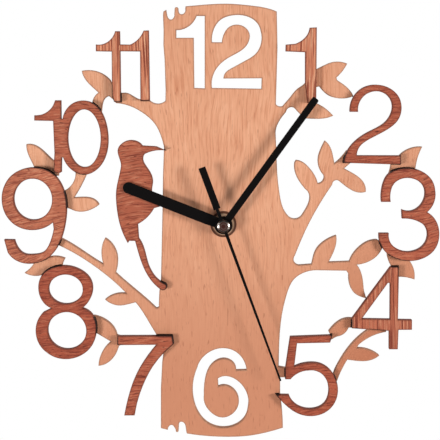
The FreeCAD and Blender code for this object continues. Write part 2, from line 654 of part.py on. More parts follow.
def circle(radius, centre=(0, 0)):
    return Part.Circle(FreeCAD.Vector(centre[0], centre[1], 0), FreeCAD.Vector(0, 0, 1), radius)


def polygon(points):
    """Straight edges through points, closed."""
    corners = [FreeCAD.Vector(x, z, 0) for x, z in points]
    return [Part.LineSegment(corners[i - 1], corners[i]) for i in range(len(corners))]


def rectangle(left, right, low, high):
    return polygon([(left, low), (right, low), (right, high), (left, high)])


def rounded_rectangle(left, right, low, high, radius):
    """A rectangle with arcs at its four corners."""
    middles = [
        (right - radius, low + radius, -math.pi / 2),
        (right - radius, high - radius, 0),
        (left + radius, high - radius, math.pi / 2),
        (left + radius, low + radius, math.pi),
    ]
    arcs = []
    for x, z, start in middles:
        points = []
        for step in range(3):
            angle = start + step * math.pi / 4
            points.append(FreeCAD.Vector(x + radius * math.cos(angle), z + radius * math.sin(angle), 0))
        arcs.append(points)
    edges = []
    for number, arc in enumerate(arcs):
        edges.append(Part.LineSegment(arcs[number - 1][2], arc[0]))
        edges.append(Part.Arc(arc[0], arc[1], arc[2]))
    return edges


def regular_hexagon(across_flats):
    return polygon([polar(across_flats / math.sqrt(3), corner * math.pi / 3) for corner in range(6)])


def polar(distance, angle):
    """A place at a distance and an angle in radians from the hand axis."""
    return distance * math.cos(angle), distance * math.sin(angle)


def tip_radius(teeth, module):
    return teeth * module / 2 + ADDENDUM_SHARE * module


def toothed(teeth, module, phase):
    """The outline of a wheel: straight-flanked teeth, the first one centred on the phase angle."""
    pitch_radius = teeth * module / 2
    pitch_angle = 2 * math.pi / teeth
    profile = [
        (pitch_radius - DEDENDUM_SHARE * module, -ROOT_WIDTH_SHARE),
        (pitch_radius, -PITCH_WIDTH_SHARE),
        (tip_radius(teeth, module), -TIP_WIDTH_SHARE),
        (tip_radius(teeth, module), TIP_WIDTH_SHARE),
        (pitch_radius, PITCH_WIDTH_SHARE),
        (pitch_radius - DEDENDUM_SHARE * module, ROOT_WIDTH_SHARE),
    ]
    points = []
    for tooth in range(teeth):
        for radius, width_share in profile:
            points.append(polar(radius, phase + (tooth + width_share / 2) * pitch_angle))
    return polygon(points)


def meshed_phase(direction, driver_teeth, driver_phase, teeth):
    """The phase that puts a gap of one wheel over a tooth of its neighbour."""
    turns = (direction - driver_phase) * driver_teeth / (2 * math.pi)
    return direction + math.pi - (1 / 2 - turns) * 2 * math.pi / teeth


def new_body(name, back="", place=(0, 0)):
    """A named piece whose back lies at a distance from the wall, centred on a place."""
    body = doc.addObject("PartDesign::Body", name)
    body.Label = name
    body.Placement.Base = FreeCAD.Vector(place[0], 0, place[1])
    if back:
        body.setExpression("Placement.Base.y", "-(" + linked(back) + ")")
    return body


def origin_plane(body, role):
    for feature in body.Origin.OriginFeatures:
        if feature.Role == role:
            return feature


def add_sketch(body, name, edges, start):
    """A sketch parallel to the wall, some way in front of its body's back."""
    sketch = body.newObject("Sketcher::SketchObject", name + "_sketch")
    sketch.AttachmentSupport = [(origin_plane(body, "XZ_Plane"), "")]
    sketch.MapMode = "FlatFace"
    if start:
        sketch.setExpression("AttachmentOffset.Base.z", linked(start))
    sketch.addGeometry(edges, False)
    return sketch


def add_pad(body, name, edges, length, start=""):
    """Thicken an outline towards the front."""
    pad = body.newObject("PartDesign::Pad", name)
    pad.Profile = add_sketch(body, name, edges, start)
    pad.setExpression("Length", linked(length))
    body.Tip = pad
    return pad


def add_pocket(body, name, edges, length, start=""):
    """Cut an outline into the piece, from the sketch towards the front."""
    before = solid_volume(body)
    pocket = body.newObject("PartDesign::Pocket", name)
    pocket.Profile = add_sketch(body, name, edges, start)
    pocket.setExpression("Length", linked(length))
    pocket.Reversed = True
    body.Tip = pocket
    if solid_volume(body) >= before:
        raise RuntimeError(name + " cuts nothing")
    return pocket


def solid_volume(body):
    doc.recompute()
    return body.Shape.Volume


def wood(name, outline, holes=()):
    """A dark front piece: a numeral or the bird, glued to the front of the tree."""
    body = new_body(name, TREE_FRONT)
    height = SIZE["numeral_thickness"]
    edges = traced(outline, height)
    for hole in holes:
        edges.append(oval(hole, height))
    add_pad(body, name + "_board", edges, "numeral_thickness")
    return body


def twig(name, outline):
    """A pale piece in the tree's own layer that ties two numerals together."""
    body = new_body(name, TREE_BACK)
    add_pad(body, name + "_board", traced(outline, 0), "plate_thickness")
    return body


def tree_plate():
    """The trunk, its branches and their leaves, with the 12 and the 6 cut through."""
    body = new_body("tree_plate", TREE_BACK)
    edges = traced(TREE_PX, 0)
    for cut in (TWELVE_ONE_PX, TWELVE_TWO_PX, SIX_PX):
        edges += traced(cut, 0)
    edges.append(circle(SIZE["axis_hole_radius"]))
    add_pad(body, "tree_board", edges, "plate_thickness")


def wooden_pieces():
    tree_plate()
    wood("numeral_one", ONE_PX)
    wood("numeral_two", TWO_PX)
    wood("numeral_three", THREE_PX)
    four = wood("numeral_four", FOUR_PX)
    gap = traced(FOUR_GAP_PX, SIZE["numeral_thickness"])
    add_pocket(four, "four_gap", gap, "numeral_thickness + overrun")
    wood("numeral_five", FIVE_PX)
    wood("numeral_seven", SEVEN_PX)
    wood("numeral_eight", EIGHT_PX, [EIGHT_TOP_HOLE_PX, EIGHT_LOW_HOLE_PX])
    wood("numeral_nine", NINE_PX, [NINE_HOLE_PX])
    wood("numeral_ten", TEN_PX, [TEN_HOLE_PX])
    wood("numeral_eleven", ELEVEN_PX)
    wood("woodpecker", BIRD_PX)
    twig("leaf_ten_nine", LEAF_TEN_NINE_PX)
    twig("twig_ten_nine", TWIG_TEN_NINE_PX)
    twig("leaf_nine_eight", LEAF_NINE_EIGHT_PX)
    twig("leaves_eight_seven", LEAVES_EIGHT_SEVEN_PX)
    twig("leaf_two_three", LEAF_TWO_THREE_PX)
    twig("leaf_three_four", LEAF_THREE_FOUR_PX)
    twig("leaf_four_five", LEAF_FOUR_FIVE_PX)
    twig("twig_four_five", TWIG_FOUR_FIVE_PX)


def add_turned(body, name, edges, length, start):
    """Thicken an outline drawn across the X axis towards +X, from a place along X."""
    pad = body.newObject("PartDesign::Pad", name)
    sketch = body.newObject("Sketcher::SketchObject", name + "_sketch")
    sketch.AttachmentSupport = [(origin_plane(body, "YZ_Plane"), "")]
    sketch.MapMode = "FlatFace"
    sketch.AttachmentOffset.Base = FreeCAD.Vector(0, 0, start)
    sketch.addGeometry(edges, False)
    pad.Profile = sketch
    pad.setExpression("Length", linked(length))
    body.Tip = pad
    return pad


# Radii of bearings and places of the train, from the same sizes as what runs in them.
HOUR_BORE = SIZE["minute_pipe_radius"] + SIZE["running_clearance"]
COLLAR_BORE = SIZE["hour_pipe_radius"] + SIZE["running_clearance"]
MINUTE_BORE = SIZE["second_arbor_radius"] + SIZE["running_clearance"]
ARBOR_BORE = SIZE["arbor_radius"] + SIZE["running_clearance"]
STEM_BORE = SIZE["stem_radius"] + SIZE["running_clearance"]
THREAD_HOLE = SIZE["collar_radius"] + SIZE["thread_clearance"]

THIRD_DIRECTION = math.radians(SIZE["third_angle"])
MOTION_DIRECTION = math.radians(SIZE["motion_angle"])
INTERMEDIATE_DIRECTION = math.radians(SIZE["intermediate_angle"])
ROTOR_DIRECTION = math.radians(SIZE["rotor_angle"])
THIRD_PLACE = polar(SIZE["third_distance"], THIRD_DIRECTION)
MOTION_PLACE = polar(SIZE["motion_distance"], MOTION_DIRECTION)
INTERMEDIATE_PLACE = polar(SIZE["intermediate_distance"], INTERMEDIATE_DIRECTION)
ROTOR_STEP = polar(SIZE["rotor_distance"], ROTOR_DIRECTION)
ROTOR_PLACE = (INTERMEDIATE_PLACE[0] + ROTOR_STEP[0], INTERMEDIATE_PLACE[1] + ROTOR_STEP[1])

# Modules, from the distance of two arbors and the teeth that mesh between them.
ROTOR_MODULE = 2 * SIZE["rotor_distance"] / (ROTOR_PINION_TEETH + INTERMEDIATE_TEETH)
INTERMEDIATE_MODULE = 2 * SIZE["intermediate_distance"] / (INTERMEDIATE_PINION_TEETH + SECOND_TEETH)
THIRD_MODULE = 2 * SIZE["third_distance"] / (SECOND_PINION_TEETH + THIRD_TEETH)
CENTRE_MODULE = 2 * SIZE["third_distance"] / (THIRD_PINION_TEETH + CENTRE_TEETH)
MOTION_MODULE = 2 * SIZE["motion_distance"] / (CENTRE_PINION_TEETH + MOTION_TEETH)
HOUR_MODULE = 2 * SIZE["motion_distance"] / (MOTION_PINION_TEETH + HOUR_TEETH)

# The case's bays, seen from the front and measured from the hand axis. The cell with its contacts
# or the stator, whichever reaches further, sets the width, and the wheels, the coil and the cell
# set the height.
BAY_RIGHT = (SIZE["battery_length"] + SIZE["nub_length"] + SIZE["spring_length"]) / 2
BAY_RIGHT += SIZE["contact_thickness"] + SIZE["contact_gap"]
STATOR_LEFT = ROTOR_PLACE[0] - SIZE["stator_left"]
STATOR_RIGHT = ROTOR_PLACE[0] + SIZE["stator_reach"]
TRAIN_RIGHT = max(BAY_RIGHT, STATOR_RIGHT + SIZE["edge_gap"])
CASE_RIGHT = TRAIN_RIGHT + SIZE["case_wall"]
BATTERY_ROOM = SIZE["battery_radius"] + SIZE["battery_clearance"]
TRAIN_LOW = -tip_radius(CENTRE_TEETH, CENTRE_MODULE) - SIZE["train_gap"]
BAY_HIGH = TRAIN_LOW - SIZE["bay_wall"]
BATTERY_HEIGHT = BAY_HIGH - BATTERY_ROOM
BAY_LOW = BATTERY_HEIGHT - BATTERY_ROOM
CASE_LOW = BAY_LOW - SIZE["case_wall"]
COIL_HEIGHT = THIRD_PLACE[1] + tip_radius(THIRD_TEETH, THIRD_MODULE) + SIZE["coil_gap"]
COIL_HEIGHT += SIZE["bobbin_flange"]
TRAIN_HIGH = COIL_HEIGHT + SIZE["bobbin_flange"] + SIZE["coil_headroom"]
CASE_TOP = TRAIN_HIGH + SIZE["case_wall"]

# The plates inside, and what stands under them.
PLATE_RIGHT = TRAIN_RIGHT - SIZE["edge_gap"]
PLATE_LOW = TRAIN_LOW + SIZE["edge_gap"]
BOARD_RIGHT = -SIZE["bearing_left"] - SIZE["board_gap"]
BOARD_TOP = TRAIN_HIGH - SIZE["edge_gap"]


def post_places():
    """Corners of the bearing plate and of the circuit board, in from their edges."""
    inset = SIZE["post_inset"]
    left = inset - SIZE["bearing_left"]
    right = PLATE_RIGHT - inset
    low = PLATE_LOW + inset
    high = SIZE["bearing_top"] - inset
    board_left = inset - PLATE_RIGHT
    board_high = BOARD_TOP - inset
    plate_posts = [(left, low), (right, low), (left, high), (right, high)]
    board_posts = [(board_left, inset - SIZE["board_foot"]), (board_left, board_high),
                   (BOARD_RIGHT - inset, board_high)]
    return plate_posts + board_posts


def screw_places():
    """One screw above the coil's end, one in the low left corner of the train."""
    reach = SIZE["screw_pillar_radius"] + SIZE["edge_gap"]
    above = (STATOR_LEFT - reach - SIZE["edge_gap"], TRAIN_HIGH - reach)
    below = (reach + SIZE["board_gap"] - TRAIN_RIGHT, TRAIN_LOW + reach)
    return [above, below]


def case_outline():
    return rounded_rectangle(-CASE_RIGHT, CASE_RIGHT, CASE_LOW, CASE_TOP, SIZE["case_corner"])


def movement_case():
    """The front shell with its two bays, posts and pillars, and the threaded collar."""
    body = new_body("movement_case")
    battery_bay = rectangle(-BAY_RIGHT, BAY_RIGHT, BAY_LOW, BAY_HIGH)
    train_bay = rectangle(-TRAIN_RIGHT, TRAIN_RIGHT, TRAIN_LOW, TRAIN_HIGH)
    bore = [circle(COLLAR_BORE)]
    add_pad(body, "case_face", case_outline() + bore, "bay_front_wall", "case_depth - bay_front_wall")
    stem_hole = [circle(STEM_BORE, MOTION_PLACE)]
    add_pad(body, "case_front", case_outline() + battery_bay + bore + stem_hole,
            "case_front_wall - bay_front_wall", TRAIN_FRONT)
    add_pad(body, "case_sides", case_outline() + battery_bay + train_bay,
            TRAIN_FRONT + " - cover_thickness", "cover_thickness")
    posts = [circle(SIZE["post_radius"], place) for place in post_places()]
    add_pad(body, "case_posts", posts, TRAIN_FRONT + " - (" + BEARING_FRONT + ")", BEARING_FRONT)
    pillars = [circle(SIZE["screw_pillar_radius"], place) for place in screw_places()]
    add_pad(body, "case_pillars", pillars, TRAIN_FRONT + " - cover_thickness", "cover_thickness")
    screw_hole = SIZE["screw_radius"] + SIZE["running_clearance"]
    holes = [circle(screw_hole, place) for place in screw_places()]
    add_pocket(body, "screw_holes", holes, "screw_length", "cover_thickness")
    add_pad(body, "collar", [circle(SIZE["collar_radius"])] + bore, "collar_length", "case_depth")


def back_cover():
    """The cover over the gear train, with the hanger above it and a hole for the setting knob."""
    body = new_body("back_cover")
    hanger = SIZE["hanger_width"] / 2
    top = CASE_TOP + SIZE["hanger_rise"]
    nail = (0, top - SIZE["hanger_width"] / 2)
    corner = SIZE["case_corner"]
    outline = rounded_rectangle(-CASE_RIGHT, CASE_RIGHT, BAY_HIGH, CASE_TOP, corner)
    knob_hole = circle(SIZE["knob_radius"] + SIZE["knob_clearance"], MOTION_PLACE)
    add_pad(body, "cover_sheet", outline + [knob_hole], "cover_thickness")
    tab = rounded_rectangle(-hanger, hanger, CASE_TOP - 2 * corner, top, corner)
    tab_holes = [circle(SIZE["nail_hole_radius"], nail)]
    add_pad(body, "hanger_tab", tab + tab_holes, "cover_thickness")
    shanks = [circle(SIZE["screw_radius"] + SIZE["running_clearance"], place) for place in screw_places()]
    add_pocket(body, "screw_ways", shanks, "cover_thickness")
    seats = [circle(SIZE["screw_head_radius"] + SIZE["running_clearance"], place) for place in screw_places()]
    add_pocket(body, "screw_seats", seats, "screw_head + running_clearance")
    bosses = []
    for place, bore in pivots():
        bosses += [circle(SIZE["boss_radius"], place), circle(bore, place)]
    add_pad(body, "cover_bosses", bosses, "boss_length", "cover_thickness")


def pivots():
    """Place and bore of each pivot that runs in the back cover."""
    return [
        ((0, 0), MINUTE_BORE),
        (THIRD_PLACE, ARBOR_BORE),
        (INTERMEDIATE_PLACE, ARBOR_BORE),
        (ROTOR_PLACE, ARBOR_BORE),
    ]


def bearing_plate():
    """The plate that carries the front pivots, on four posts of the case."""
    body = new_body("bearing_plate", BEARING_BACK)
    outline = rectangle(-SIZE["bearing_left"], PLATE_RIGHT, PLATE_LOW, SIZE["bearing_top"])
    holes = [circle(bore, place) for place, bore in pivots()]
    holes.append(circle(STEM_BORE, MOTION_PLACE))
    add_pad(body, "bearing_sheet", outline + holes, "bearing_thickness")


def circuit_board():
    body = new_body("circuit_board", BEARING_BACK)
    outline = rectangle(-PLATE_RIGHT, BOARD_RIGHT, -SIZE["board_foot"], BOARD_TOP)
    add_pad(body, "board_sheet", outline, "bearing_thickness")
    middle = (BOARD_RIGHT - PLATE_RIGHT) / 2
    chip = new_body("driver_chip", BEARING_BACK + " - chip_height", (middle, BOARD_TOP / 2))
    add_pad(chip, "chip_drop", [circle(SIZE["chip_radius"])], "chip_height")
    can = new_body("quartz_crystal", BEARING_BACK + " - crystal_radius", (middle, 0))
    add_turned(can, "crystal_can", [circle(SIZE["crystal_radius"])], "crystal_length",
               -SIZE["crystal_length"] / 2)


def stator():
    """A U of soft iron on the back of the bearing plate, with the rotor in its foot."""
    body = new_body("stator", BEARING_BACK + " - wheel_thickness")
    leg = SIZE["stator_leg"]
    low = ROTOR_PLACE[1] - SIZE["stator_foot"]
    high = COIL_HEIGHT + SIZE["core_radius"]
    crotch = ROTOR_PLACE[1] + SIZE["stator_foot"]
    outline = polygon([
        (STATOR_LEFT, low), (STATOR_RIGHT, low), (STATOR_RIGHT, high), (STATOR_RIGHT - leg, high),
        (STATOR_RIGHT - leg, crotch), (STATOR_LEFT + leg, crotch), (STATOR_LEFT + leg, high),
        (STATOR_LEFT, high)])
    magnet_hole = circle(SIZE["magnet_radius"] + SIZE["stator_gap"], ROTOR_PLACE)
    add_pad(body, "stator_sheet", outline + [magnet_hole], "wheel_thickness")


def coil():
    """The bobbin, whose core lies on the stator's legs, and the winding between its flanges."""
    back = BEARING_BACK + " - wheel_thickness - core_radius"
    flange = SIZE["flange_thickness"]
    inner_left = STATOR_LEFT + SIZE["stator_leg"] + SIZE["stator_gap"]
    inner_right = STATOR_RIGHT - SIZE["stator_leg"] - SIZE["stator_gap"]
    bobbin = new_body("coil_bobbin", back, (0, COIL_HEIGHT))
    add_turned(bobbin, "core", [circle(SIZE["core_radius"])], STATOR_WIDTH, STATOR_LEFT)
    rim = [circle(SIZE["bobbin_flange"])]
    add_turned(bobbin, "left_flange", rim, "flange_thickness", inner_left)
    add_turned(bobbin, "right_flange", rim, "flange_thickness", inner_right - flange)
    winding = new_body("coil_winding", back, (0, COIL_HEIGHT))
    ring = [circle(SIZE["coil_radius"]), circle(SIZE["core_radius"])]
    add_turned(winding, "winding", ring, WINDING_WIDTH, inner_left + flange)


def battery():
    """The AA cell in its bay, and the contact at each end."""
    back = "battery_back_gap + battery_radius"
    nub_tip = BAY_RIGHT - SIZE["contact_thickness"] - SIZE["contact_gap"]
    shoulder = nub_tip - SIZE["nub_length"]
    foot = shoulder - SIZE["battery_length"]
    cell = new_body("battery", back, (0, BATTERY_HEIGHT))
    add_turned(cell, "cell", [circle(SIZE["battery_radius"])], "battery_length", foot)
    add_turned(cell, "nub", [circle(SIZE["nub_radius"])], "nub_length", shoulder)
    half = SIZE["contact_width"] / 2
    square = rectangle(-half, half, -half, half)
    inner = BAY_RIGHT - SIZE["contact_thickness"]
    plus = new_body("positive_contact", back, (0, BATTERY_HEIGHT))
    add_turned(plus, "plus_sheet", square, "contact_thickness", inner)
    minus = new_body("negative_contact", back, (0, BATTERY_HEIGHT))
    add_turned(minus, "minus_sheet", square, "contact_thickness", -BAY_RIGHT)
    add_turned(minus, "minus_spring", [circle(SIZE["spring_radius"])], "spring_length", -inner)


def cover_screws():
    """Both screws of the cover, as one group of separate solids."""
    shanks = []
    for x, z in screw_places():
        head = Part.makeCylinder(SIZE["screw_head_radius"], SIZE["screw_head"],
                                 FreeCAD.Vector(x, 0, z), FreeCAD.Vector(0, -1, 0))
        shank = Part.makeCylinder(SIZE["screw_radius"], SIZE["screw_length"],
                                  FreeCAD.Vector(x, -SIZE["screw_head"], z), FreeCAD.Vector(0, -1, 0))
        slot = Part.makeBox(2 * SIZE["screw_head_radius"] + SIZE["overrun"], SIZE["screw_slot"],
                            SIZE["screw_slot"],
                            FreeCAD.Vector(x - SIZE["screw_head_radius"] - SIZE["overrun"] / 2,
                                           -SIZE["screw_slot"], z - SIZE["screw_slot"] / 2))
        shanks.append(head.fuse(shank).cut(slot))
    screws = doc.addObject("Part::Feature", "cover_screws")
    screws.Label = "cover_screws"
    screws.Shape = Part.makeCompound(shanks)


def knurled(radius, depth, grooves):
    """A round outline with V grooves all round."""
    points = []
    for groove in range(grooves):
        for part_of_groove, inward in ((0, depth), (1 / 2, 0)):
            points.append(polar(radius - inward, (groove + part_of_groove) * 2 * math.pi / grooves))
    return polygon(points)


# Phases that hold the wheels in mesh, worked out along the train from the hand axis.
CENTRE_PHASE = 0.0
THIRD_PINION_PHASE = meshed_phase(THIRD_DIRECTION, CENTRE_TEETH, CENTRE_PHASE, THIRD_PINION_TEETH)
SECOND_PINION_PHASE = meshed_phase(THIRD_DIRECTION + math.pi, THIRD_TEETH, 0.0, SECOND_PINION_TEETH)
INTERMEDIATE_PINION_PHASE = meshed_phase(INTERMEDIATE_DIRECTION, SECOND_TEETH, 0.0,
                                         INTERMEDIATE_PINION_TEETH)
ROTOR_PHASE = meshed_phase(ROTOR_DIRECTION, INTERMEDIATE_TEETH, 0.0, ROTOR_PINION_TEETH)
MOTION_PHASE = meshed_phase(MOTION_DIRECTION, CENTRE_PINION_TEETH, CENTRE_PHASE, MOTION_TEETH)
HOUR_PHASE = meshed_phase(MOTION_DIRECTION + math.pi, MOTION_PINION_TEETH, 0.0, HOUR_TEETH)


def span(front, back):
    """The sum that gives the length between two distances from the wall."""
    terms = re.findall(r"([+-]?)\s*([a-z][a-z_]+)", back)
    return front + "".join((" + " if sign == "-" else " - ") + alias for sign, alias in terms)


def gear_train():
    rotor = new_body("rotor", "", ROTOR_PLACE)
    arbor = [circle(SIZE["arbor_radius"])]
    add_pad(rotor, "rotor_arbor", arbor, span(BEARING_FRONT, PIVOT_BACK), PIVOT_BACK)
    add_pad(rotor, "rotor_pinion", toothed(ROTOR_PINION_TEETH, ROTOR_MODULE, ROTOR_PHASE),
            "wheel_thickness + pinion_reach + pinion_reach", INTERMEDIATE_BACK + " - pinion_reach")
    add_pad(rotor, "rotor_magnet", [circle(SIZE["magnet_radius"])], "wheel_thickness",
            BEARING_BACK + " - plate_gap - wheel_thickness")

    intermediate = new_body("intermediate_wheel", "", INTERMEDIATE_PLACE)
    add_pad(intermediate, "intermediate_arbor", [circle(SIZE["arbor_radius"])],
            span(BEARING_FRONT, PIVOT_BACK), PIVOT_BACK)
    add_pad(intermediate, "intermediate_disc", toothed(INTERMEDIATE_TEETH, ROTOR_MODULE, 0.0),
            "wheel_thickness", INTERMEDIATE_BACK)
    leaves = toothed(INTERMEDIATE_PINION_TEETH, INTERMEDIATE_MODULE, INTERMEDIATE_PINION_PHASE)
    add_pad(intermediate, "intermediate_pinion", leaves,
            span(SECOND_WHEEL_FRONT + " + pinion_reach", INTERMEDIATE_FRONT), INTERMEDIATE_FRONT)

    second = new_body("second_wheel")
    add_pad(second, "second_arbor", [circle(SIZE["second_arbor_radius"])],
            span(SECOND_HAND_FRONT, PIVOT_BACK), PIVOT_BACK)
    add_pad(second, "second_disc", toothed(SECOND_TEETH, INTERMEDIATE_MODULE, 0.0),
            "wheel_thickness", SECOND_WHEEL_BACK)
    add_pad(second, "second_pinion", toothed(SECOND_PINION_TEETH, THIRD_MODULE, SECOND_PINION_PHASE),
            "wheel_thickness + pinion_reach + pinion_reach", THIRD_WHEEL_BACK + " - pinion_reach")

    third = new_body("third_wheel", "", THIRD_PLACE)
    add_pad(third, "third_arbor", [circle(SIZE["arbor_radius"])],
            span(CENTRE_WHEEL_FRONT + " + pinion_reach", PIVOT_BACK), PIVOT_BACK)
    add_pad(third, "third_disc", toothed(THIRD_TEETH, THIRD_MODULE, 0.0), "wheel_thickness",
            THIRD_WHEEL_BACK)
    add_pad(third, "third_pinion", toothed(THIRD_PINION_TEETH, CENTRE_MODULE, THIRD_PINION_PHASE),
            span(CENTRE_WHEEL_FRONT + " + pinion_reach", THIRD_WHEEL_FRONT), THIRD_WHEEL_FRONT)

    bore = [circle(MINUTE_BORE)]
    centre = new_body("centre_wheel")
    add_pad(centre, "centre_disc", toothed(CENTRE_TEETH, CENTRE_MODULE, CENTRE_PHASE) + bore,
            "wheel_thickness", CENTRE_WHEEL_BACK)
    leaves = toothed(CENTRE_PINION_TEETH, MOTION_MODULE, CENTRE_PHASE)
    add_pad(centre, "centre_pinion", leaves + bore,
            span(MOTION_WHEEL_FRONT + " + pinion_reach", CENTRE_WHEEL_FRONT), CENTRE_WHEEL_FRONT)
    add_pad(centre, "minute_pipe", [circle(SIZE["minute_pipe_radius"])] + bore,
            span(MINUTE_HAND_FRONT + " + pipe_stand", CENTRE_WHEEL_FRONT), CENTRE_WHEEL_FRONT)

    motion = new_body("motion_wheel", "", MOTION_PLACE)
    add_pad(motion, "setting_stem", [circle(SIZE["stem_radius"])],
            span(TRAIN_FRONT + " + stem_pivot", "knob_gap + knob_thickness"), "knob_gap + knob_thickness")
    add_pad(motion, "motion_disc", toothed(MOTION_TEETH, MOTION_MODULE, MOTION_PHASE),
            "wheel_thickness", MOTION_WHEEL_BACK)
    add_pad(motion, "motion_pinion", toothed(MOTION_PINION_TEETH, HOUR_MODULE, 0.0),
            span(HOUR_WHEEL_BACK + " + wheel_thickness", MOTION_WHEEL_FRONT), MOTION_WHEEL_FRONT)

    bore = [circle(HOUR_BORE)]
    hour = new_body("hour_wheel")
    add_pad(hour, "hour_disc", toothed(HOUR_TEETH, HOUR_MODULE, HOUR_PHASE) + bore, "wheel_thickness",
            HOUR_WHEEL_BACK)
    add_pad(hour, "hour_pipe", [circle(SIZE["hour_pipe_radius"])] + bore,
            span(HOUR_HAND_FRONT + " + pipe_stand", HOUR_WHEEL_BACK), HOUR_WHEEL_BACK)

    knob = new_body("setting_knob", "knob_gap", MOTION_PLACE)
    add_pad(knob, "knob_disc", knurled(SIZE["knob_radius"], SIZE["knurl_depth"], KNOB_GROOVE_COUNT),
            "knob_thickness")


def turned_to(clockwise, points):
    """Points given across and along a hand, turned clockwise from 12."""
    angle = math.radians(clockwise)
    return [FreeCAD.Vector(along * math.sin(angle) + across * math.cos(angle),
                           along * math.cos(angle) - across * math.sin(angle), 0)
            for across, along in points]


def open_edges(points):
    return [Part.LineSegment(points[i], points[i + 1]) for i in range(len(points) - 1)]


def hand_hub(body, name, hub_radius, shaft_radius, thickness):
    """The round hub of a hand, with the collet that grips its shaft behind it."""
    hole = shaft_radius + SIZE["press_clearance"]
    add_pad(body, name + "_hub", [circle(hub_radius), circle(hole)], thickness, "collet_length")
    add_pad(body, name + "_collet", [circle(hole + SIZE["collet_wall"]), circle(hole)], "collet_length")
    return (hub_radius + hole) / 2


def hour_hand():
    body = new_body("hour_hand", HOUR_HAND_BACK + " - collet_length")
    root = hand_hub(body, "hour", SIZE["hour_hub_radius"], SIZE["hour_pipe_radius"], "hand_thickness")
    half = SIZE["hour_hand_width"] / 2
    neck = SIZE["hour_neck_width"] / 2
    length = SIZE["hour_hand_length"]
    shoulder = 2 * SIZE["hour_hub_radius"]
    points = turned_to(SIZE["hour_hand_angle"], [
        (half, length - half), (half, shoulder), (neck, root), (-neck, root), (-half, shoulder),
        (-half, length - half), (0, length)])
    edges = open_edges(points[:-1]) + [Part.Arc(points[-2], points[-1], points[0])]
    add_pad(body, "hour_bar", edges, "hand_thickness", "collet_length")


def minute_hand():
    body = new_body("minute_hand", MINUTE_HAND_BACK + " - collet_length")
    root = hand_hub(body, "minute", SIZE["minute_hub_radius"], SIZE["minute_pipe_radius"],
                    "hand_thickness")
    half = SIZE["minute_hand_width"] / 2
    length = SIZE["minute_hand_length"]
    chamfer = SIZE["minute_tip_chamfer"]
    points = turned_to(SIZE["minute_hand_angle"], [
        (half, root), (-half, root), (-half, length - chamfer), (chamfer - half, length),
        (half - chamfer, length), (half, length - chamfer)])
    add_pad(body, "minute_bar", open_edges(points + points[:1]), "hand_thickness", "collet_length")


def second_hand():
    """The needle with its long tail, and the polished boss that covers its hub."""
    body = new_body("second_hand", SECOND_HAND_BACK + " - collet_length")
    root = hand_hub(body, "second", SIZE["second_hub_radius"], SIZE["second_arbor_radius"],
                    "second_thickness")
    wide = SIZE["second_root_width"] / 2
    fine = SIZE["second_tip_width"] / 2
    angle = SIZE["second_hand_angle"]
    needle = turned_to(angle, [
        (wide, root), (-wide, root), (-fine, SIZE["second_hand_length"]),
        (fine, SIZE["second_hand_length"])])
    add_pad(body, "needle", open_edges(needle + needle[:1]), "second_thickness", "collet_length")
    neck = SIZE["tail_neck_width"] / 2
    near = SIZE["tail_start_width"] / 2
    far = SIZE["tail_end_width"] / 2
    tail = turned_to(angle, [
        (neck, -root), (neck, -SIZE["tail_start"]), (near, -SIZE["tail_start"]),
        (far, -SIZE["tail_end"]), (-far, -SIZE["tail_end"]), (-near, -SIZE["tail_start"]),
        (-neck, -SIZE["tail_start"]), (-neck, -root)])
    add_pad(body, "tail", open_edges(tail + tail[:1]), "second_thickness", "collet_length")
    hand_boss()


def hand_boss():
    """The domed boss, turned about the hand axis."""
    body = new_body("hand_boss", SECOND_HAND_FRONT)
    radius = SIZE["cap_radius"]
    rim = -SIZE["cap_rim"]
    crown = rim - SIZE["cap_crown"]
    dome = (radius * radius + SIZE["cap_crown"] ** 2) / (2 * SIZE["cap_crown"])
    half_angle = math.asin(radius / dome) / 2
    middle = FreeCAD.Vector(crown + dome * (1 - math.cos(half_angle)), dome * math.sin(half_angle), 0)
    edges = open_edges([FreeCAD.Vector(crown, 0, 0), FreeCAD.Vector(0, 0, 0),
                        FreeCAD.Vector(0, radius, 0), FreeCAD.Vector(rim, radius, 0)])
    edges.append(Part.Arc(FreeCAD.Vector(rim, radius, 0), middle, FreeCAD.Vector(crown, 0, 0)))
    sketch = body.newObject("Sketcher::SketchObject", "boss_profile")
    sketch.AttachmentSupport = [(origin_plane(body, "YZ_Plane"), "")]
    sketch.MapMode = "FlatFace"
    sketch.addGeometry(edges, False)
    turn = body.newObject("PartDesign::Revolution", "boss_turned")
    turn.Profile = sketch
    turn.ReferenceAxis = (sketch, ["H_Axis"])
    turn.Angle = 360
    body.Tip = turn


def fasteners():
    """What clamps the tree to the movement: rubber washer, brass washer and nut on the collar."""
    rubber = new_body("rubber_washer", "case_depth")
    add_pad(rubber, "rubber_ring", [circle(SIZE["rubber_radius"]), circle(THREAD_HOLE)],
            "rubber_thickness")
    brass = new_body("brass_washer", TREE_FRONT)
    add_pad(brass, "brass_ring", [circle(SIZE["washer_radius"]), circle(THREAD_HOLE)],
            "washer_thickness")
    nut = new_body("hex_nut", TREE_FRONT + " + washer_thickness")
    add_pad(nut, "nut_body", regular_hexagon(SIZE["nut_across_flats"]) + [circle(THREAD_HOLE)],
            "nut_thickness")


def check_document():
    """Stop if any object failed."""
    for item in doc.Objects:
        if "Invalid" in item.State or "Error" in item.State:
            raise RuntimeError(item.Name + " failed")


def export_pieces():
    os.makedirs("parts", exist_ok=True)
    for piece in doc.Objects:
        if piece.TypeId in ("PartDesign::Body", "Part::Feature"):
            if not piece.Shape.Solids or not piece.Shape.isValid():
                raise RuntimeError(piece.Label + " has no sound solid")
            piece.Shape.exportStep("parts/" + piece.Label + ".step")
            print(piece.Label, len(piece.Shape.Solids), round(piece.Shape.Volume, 2))


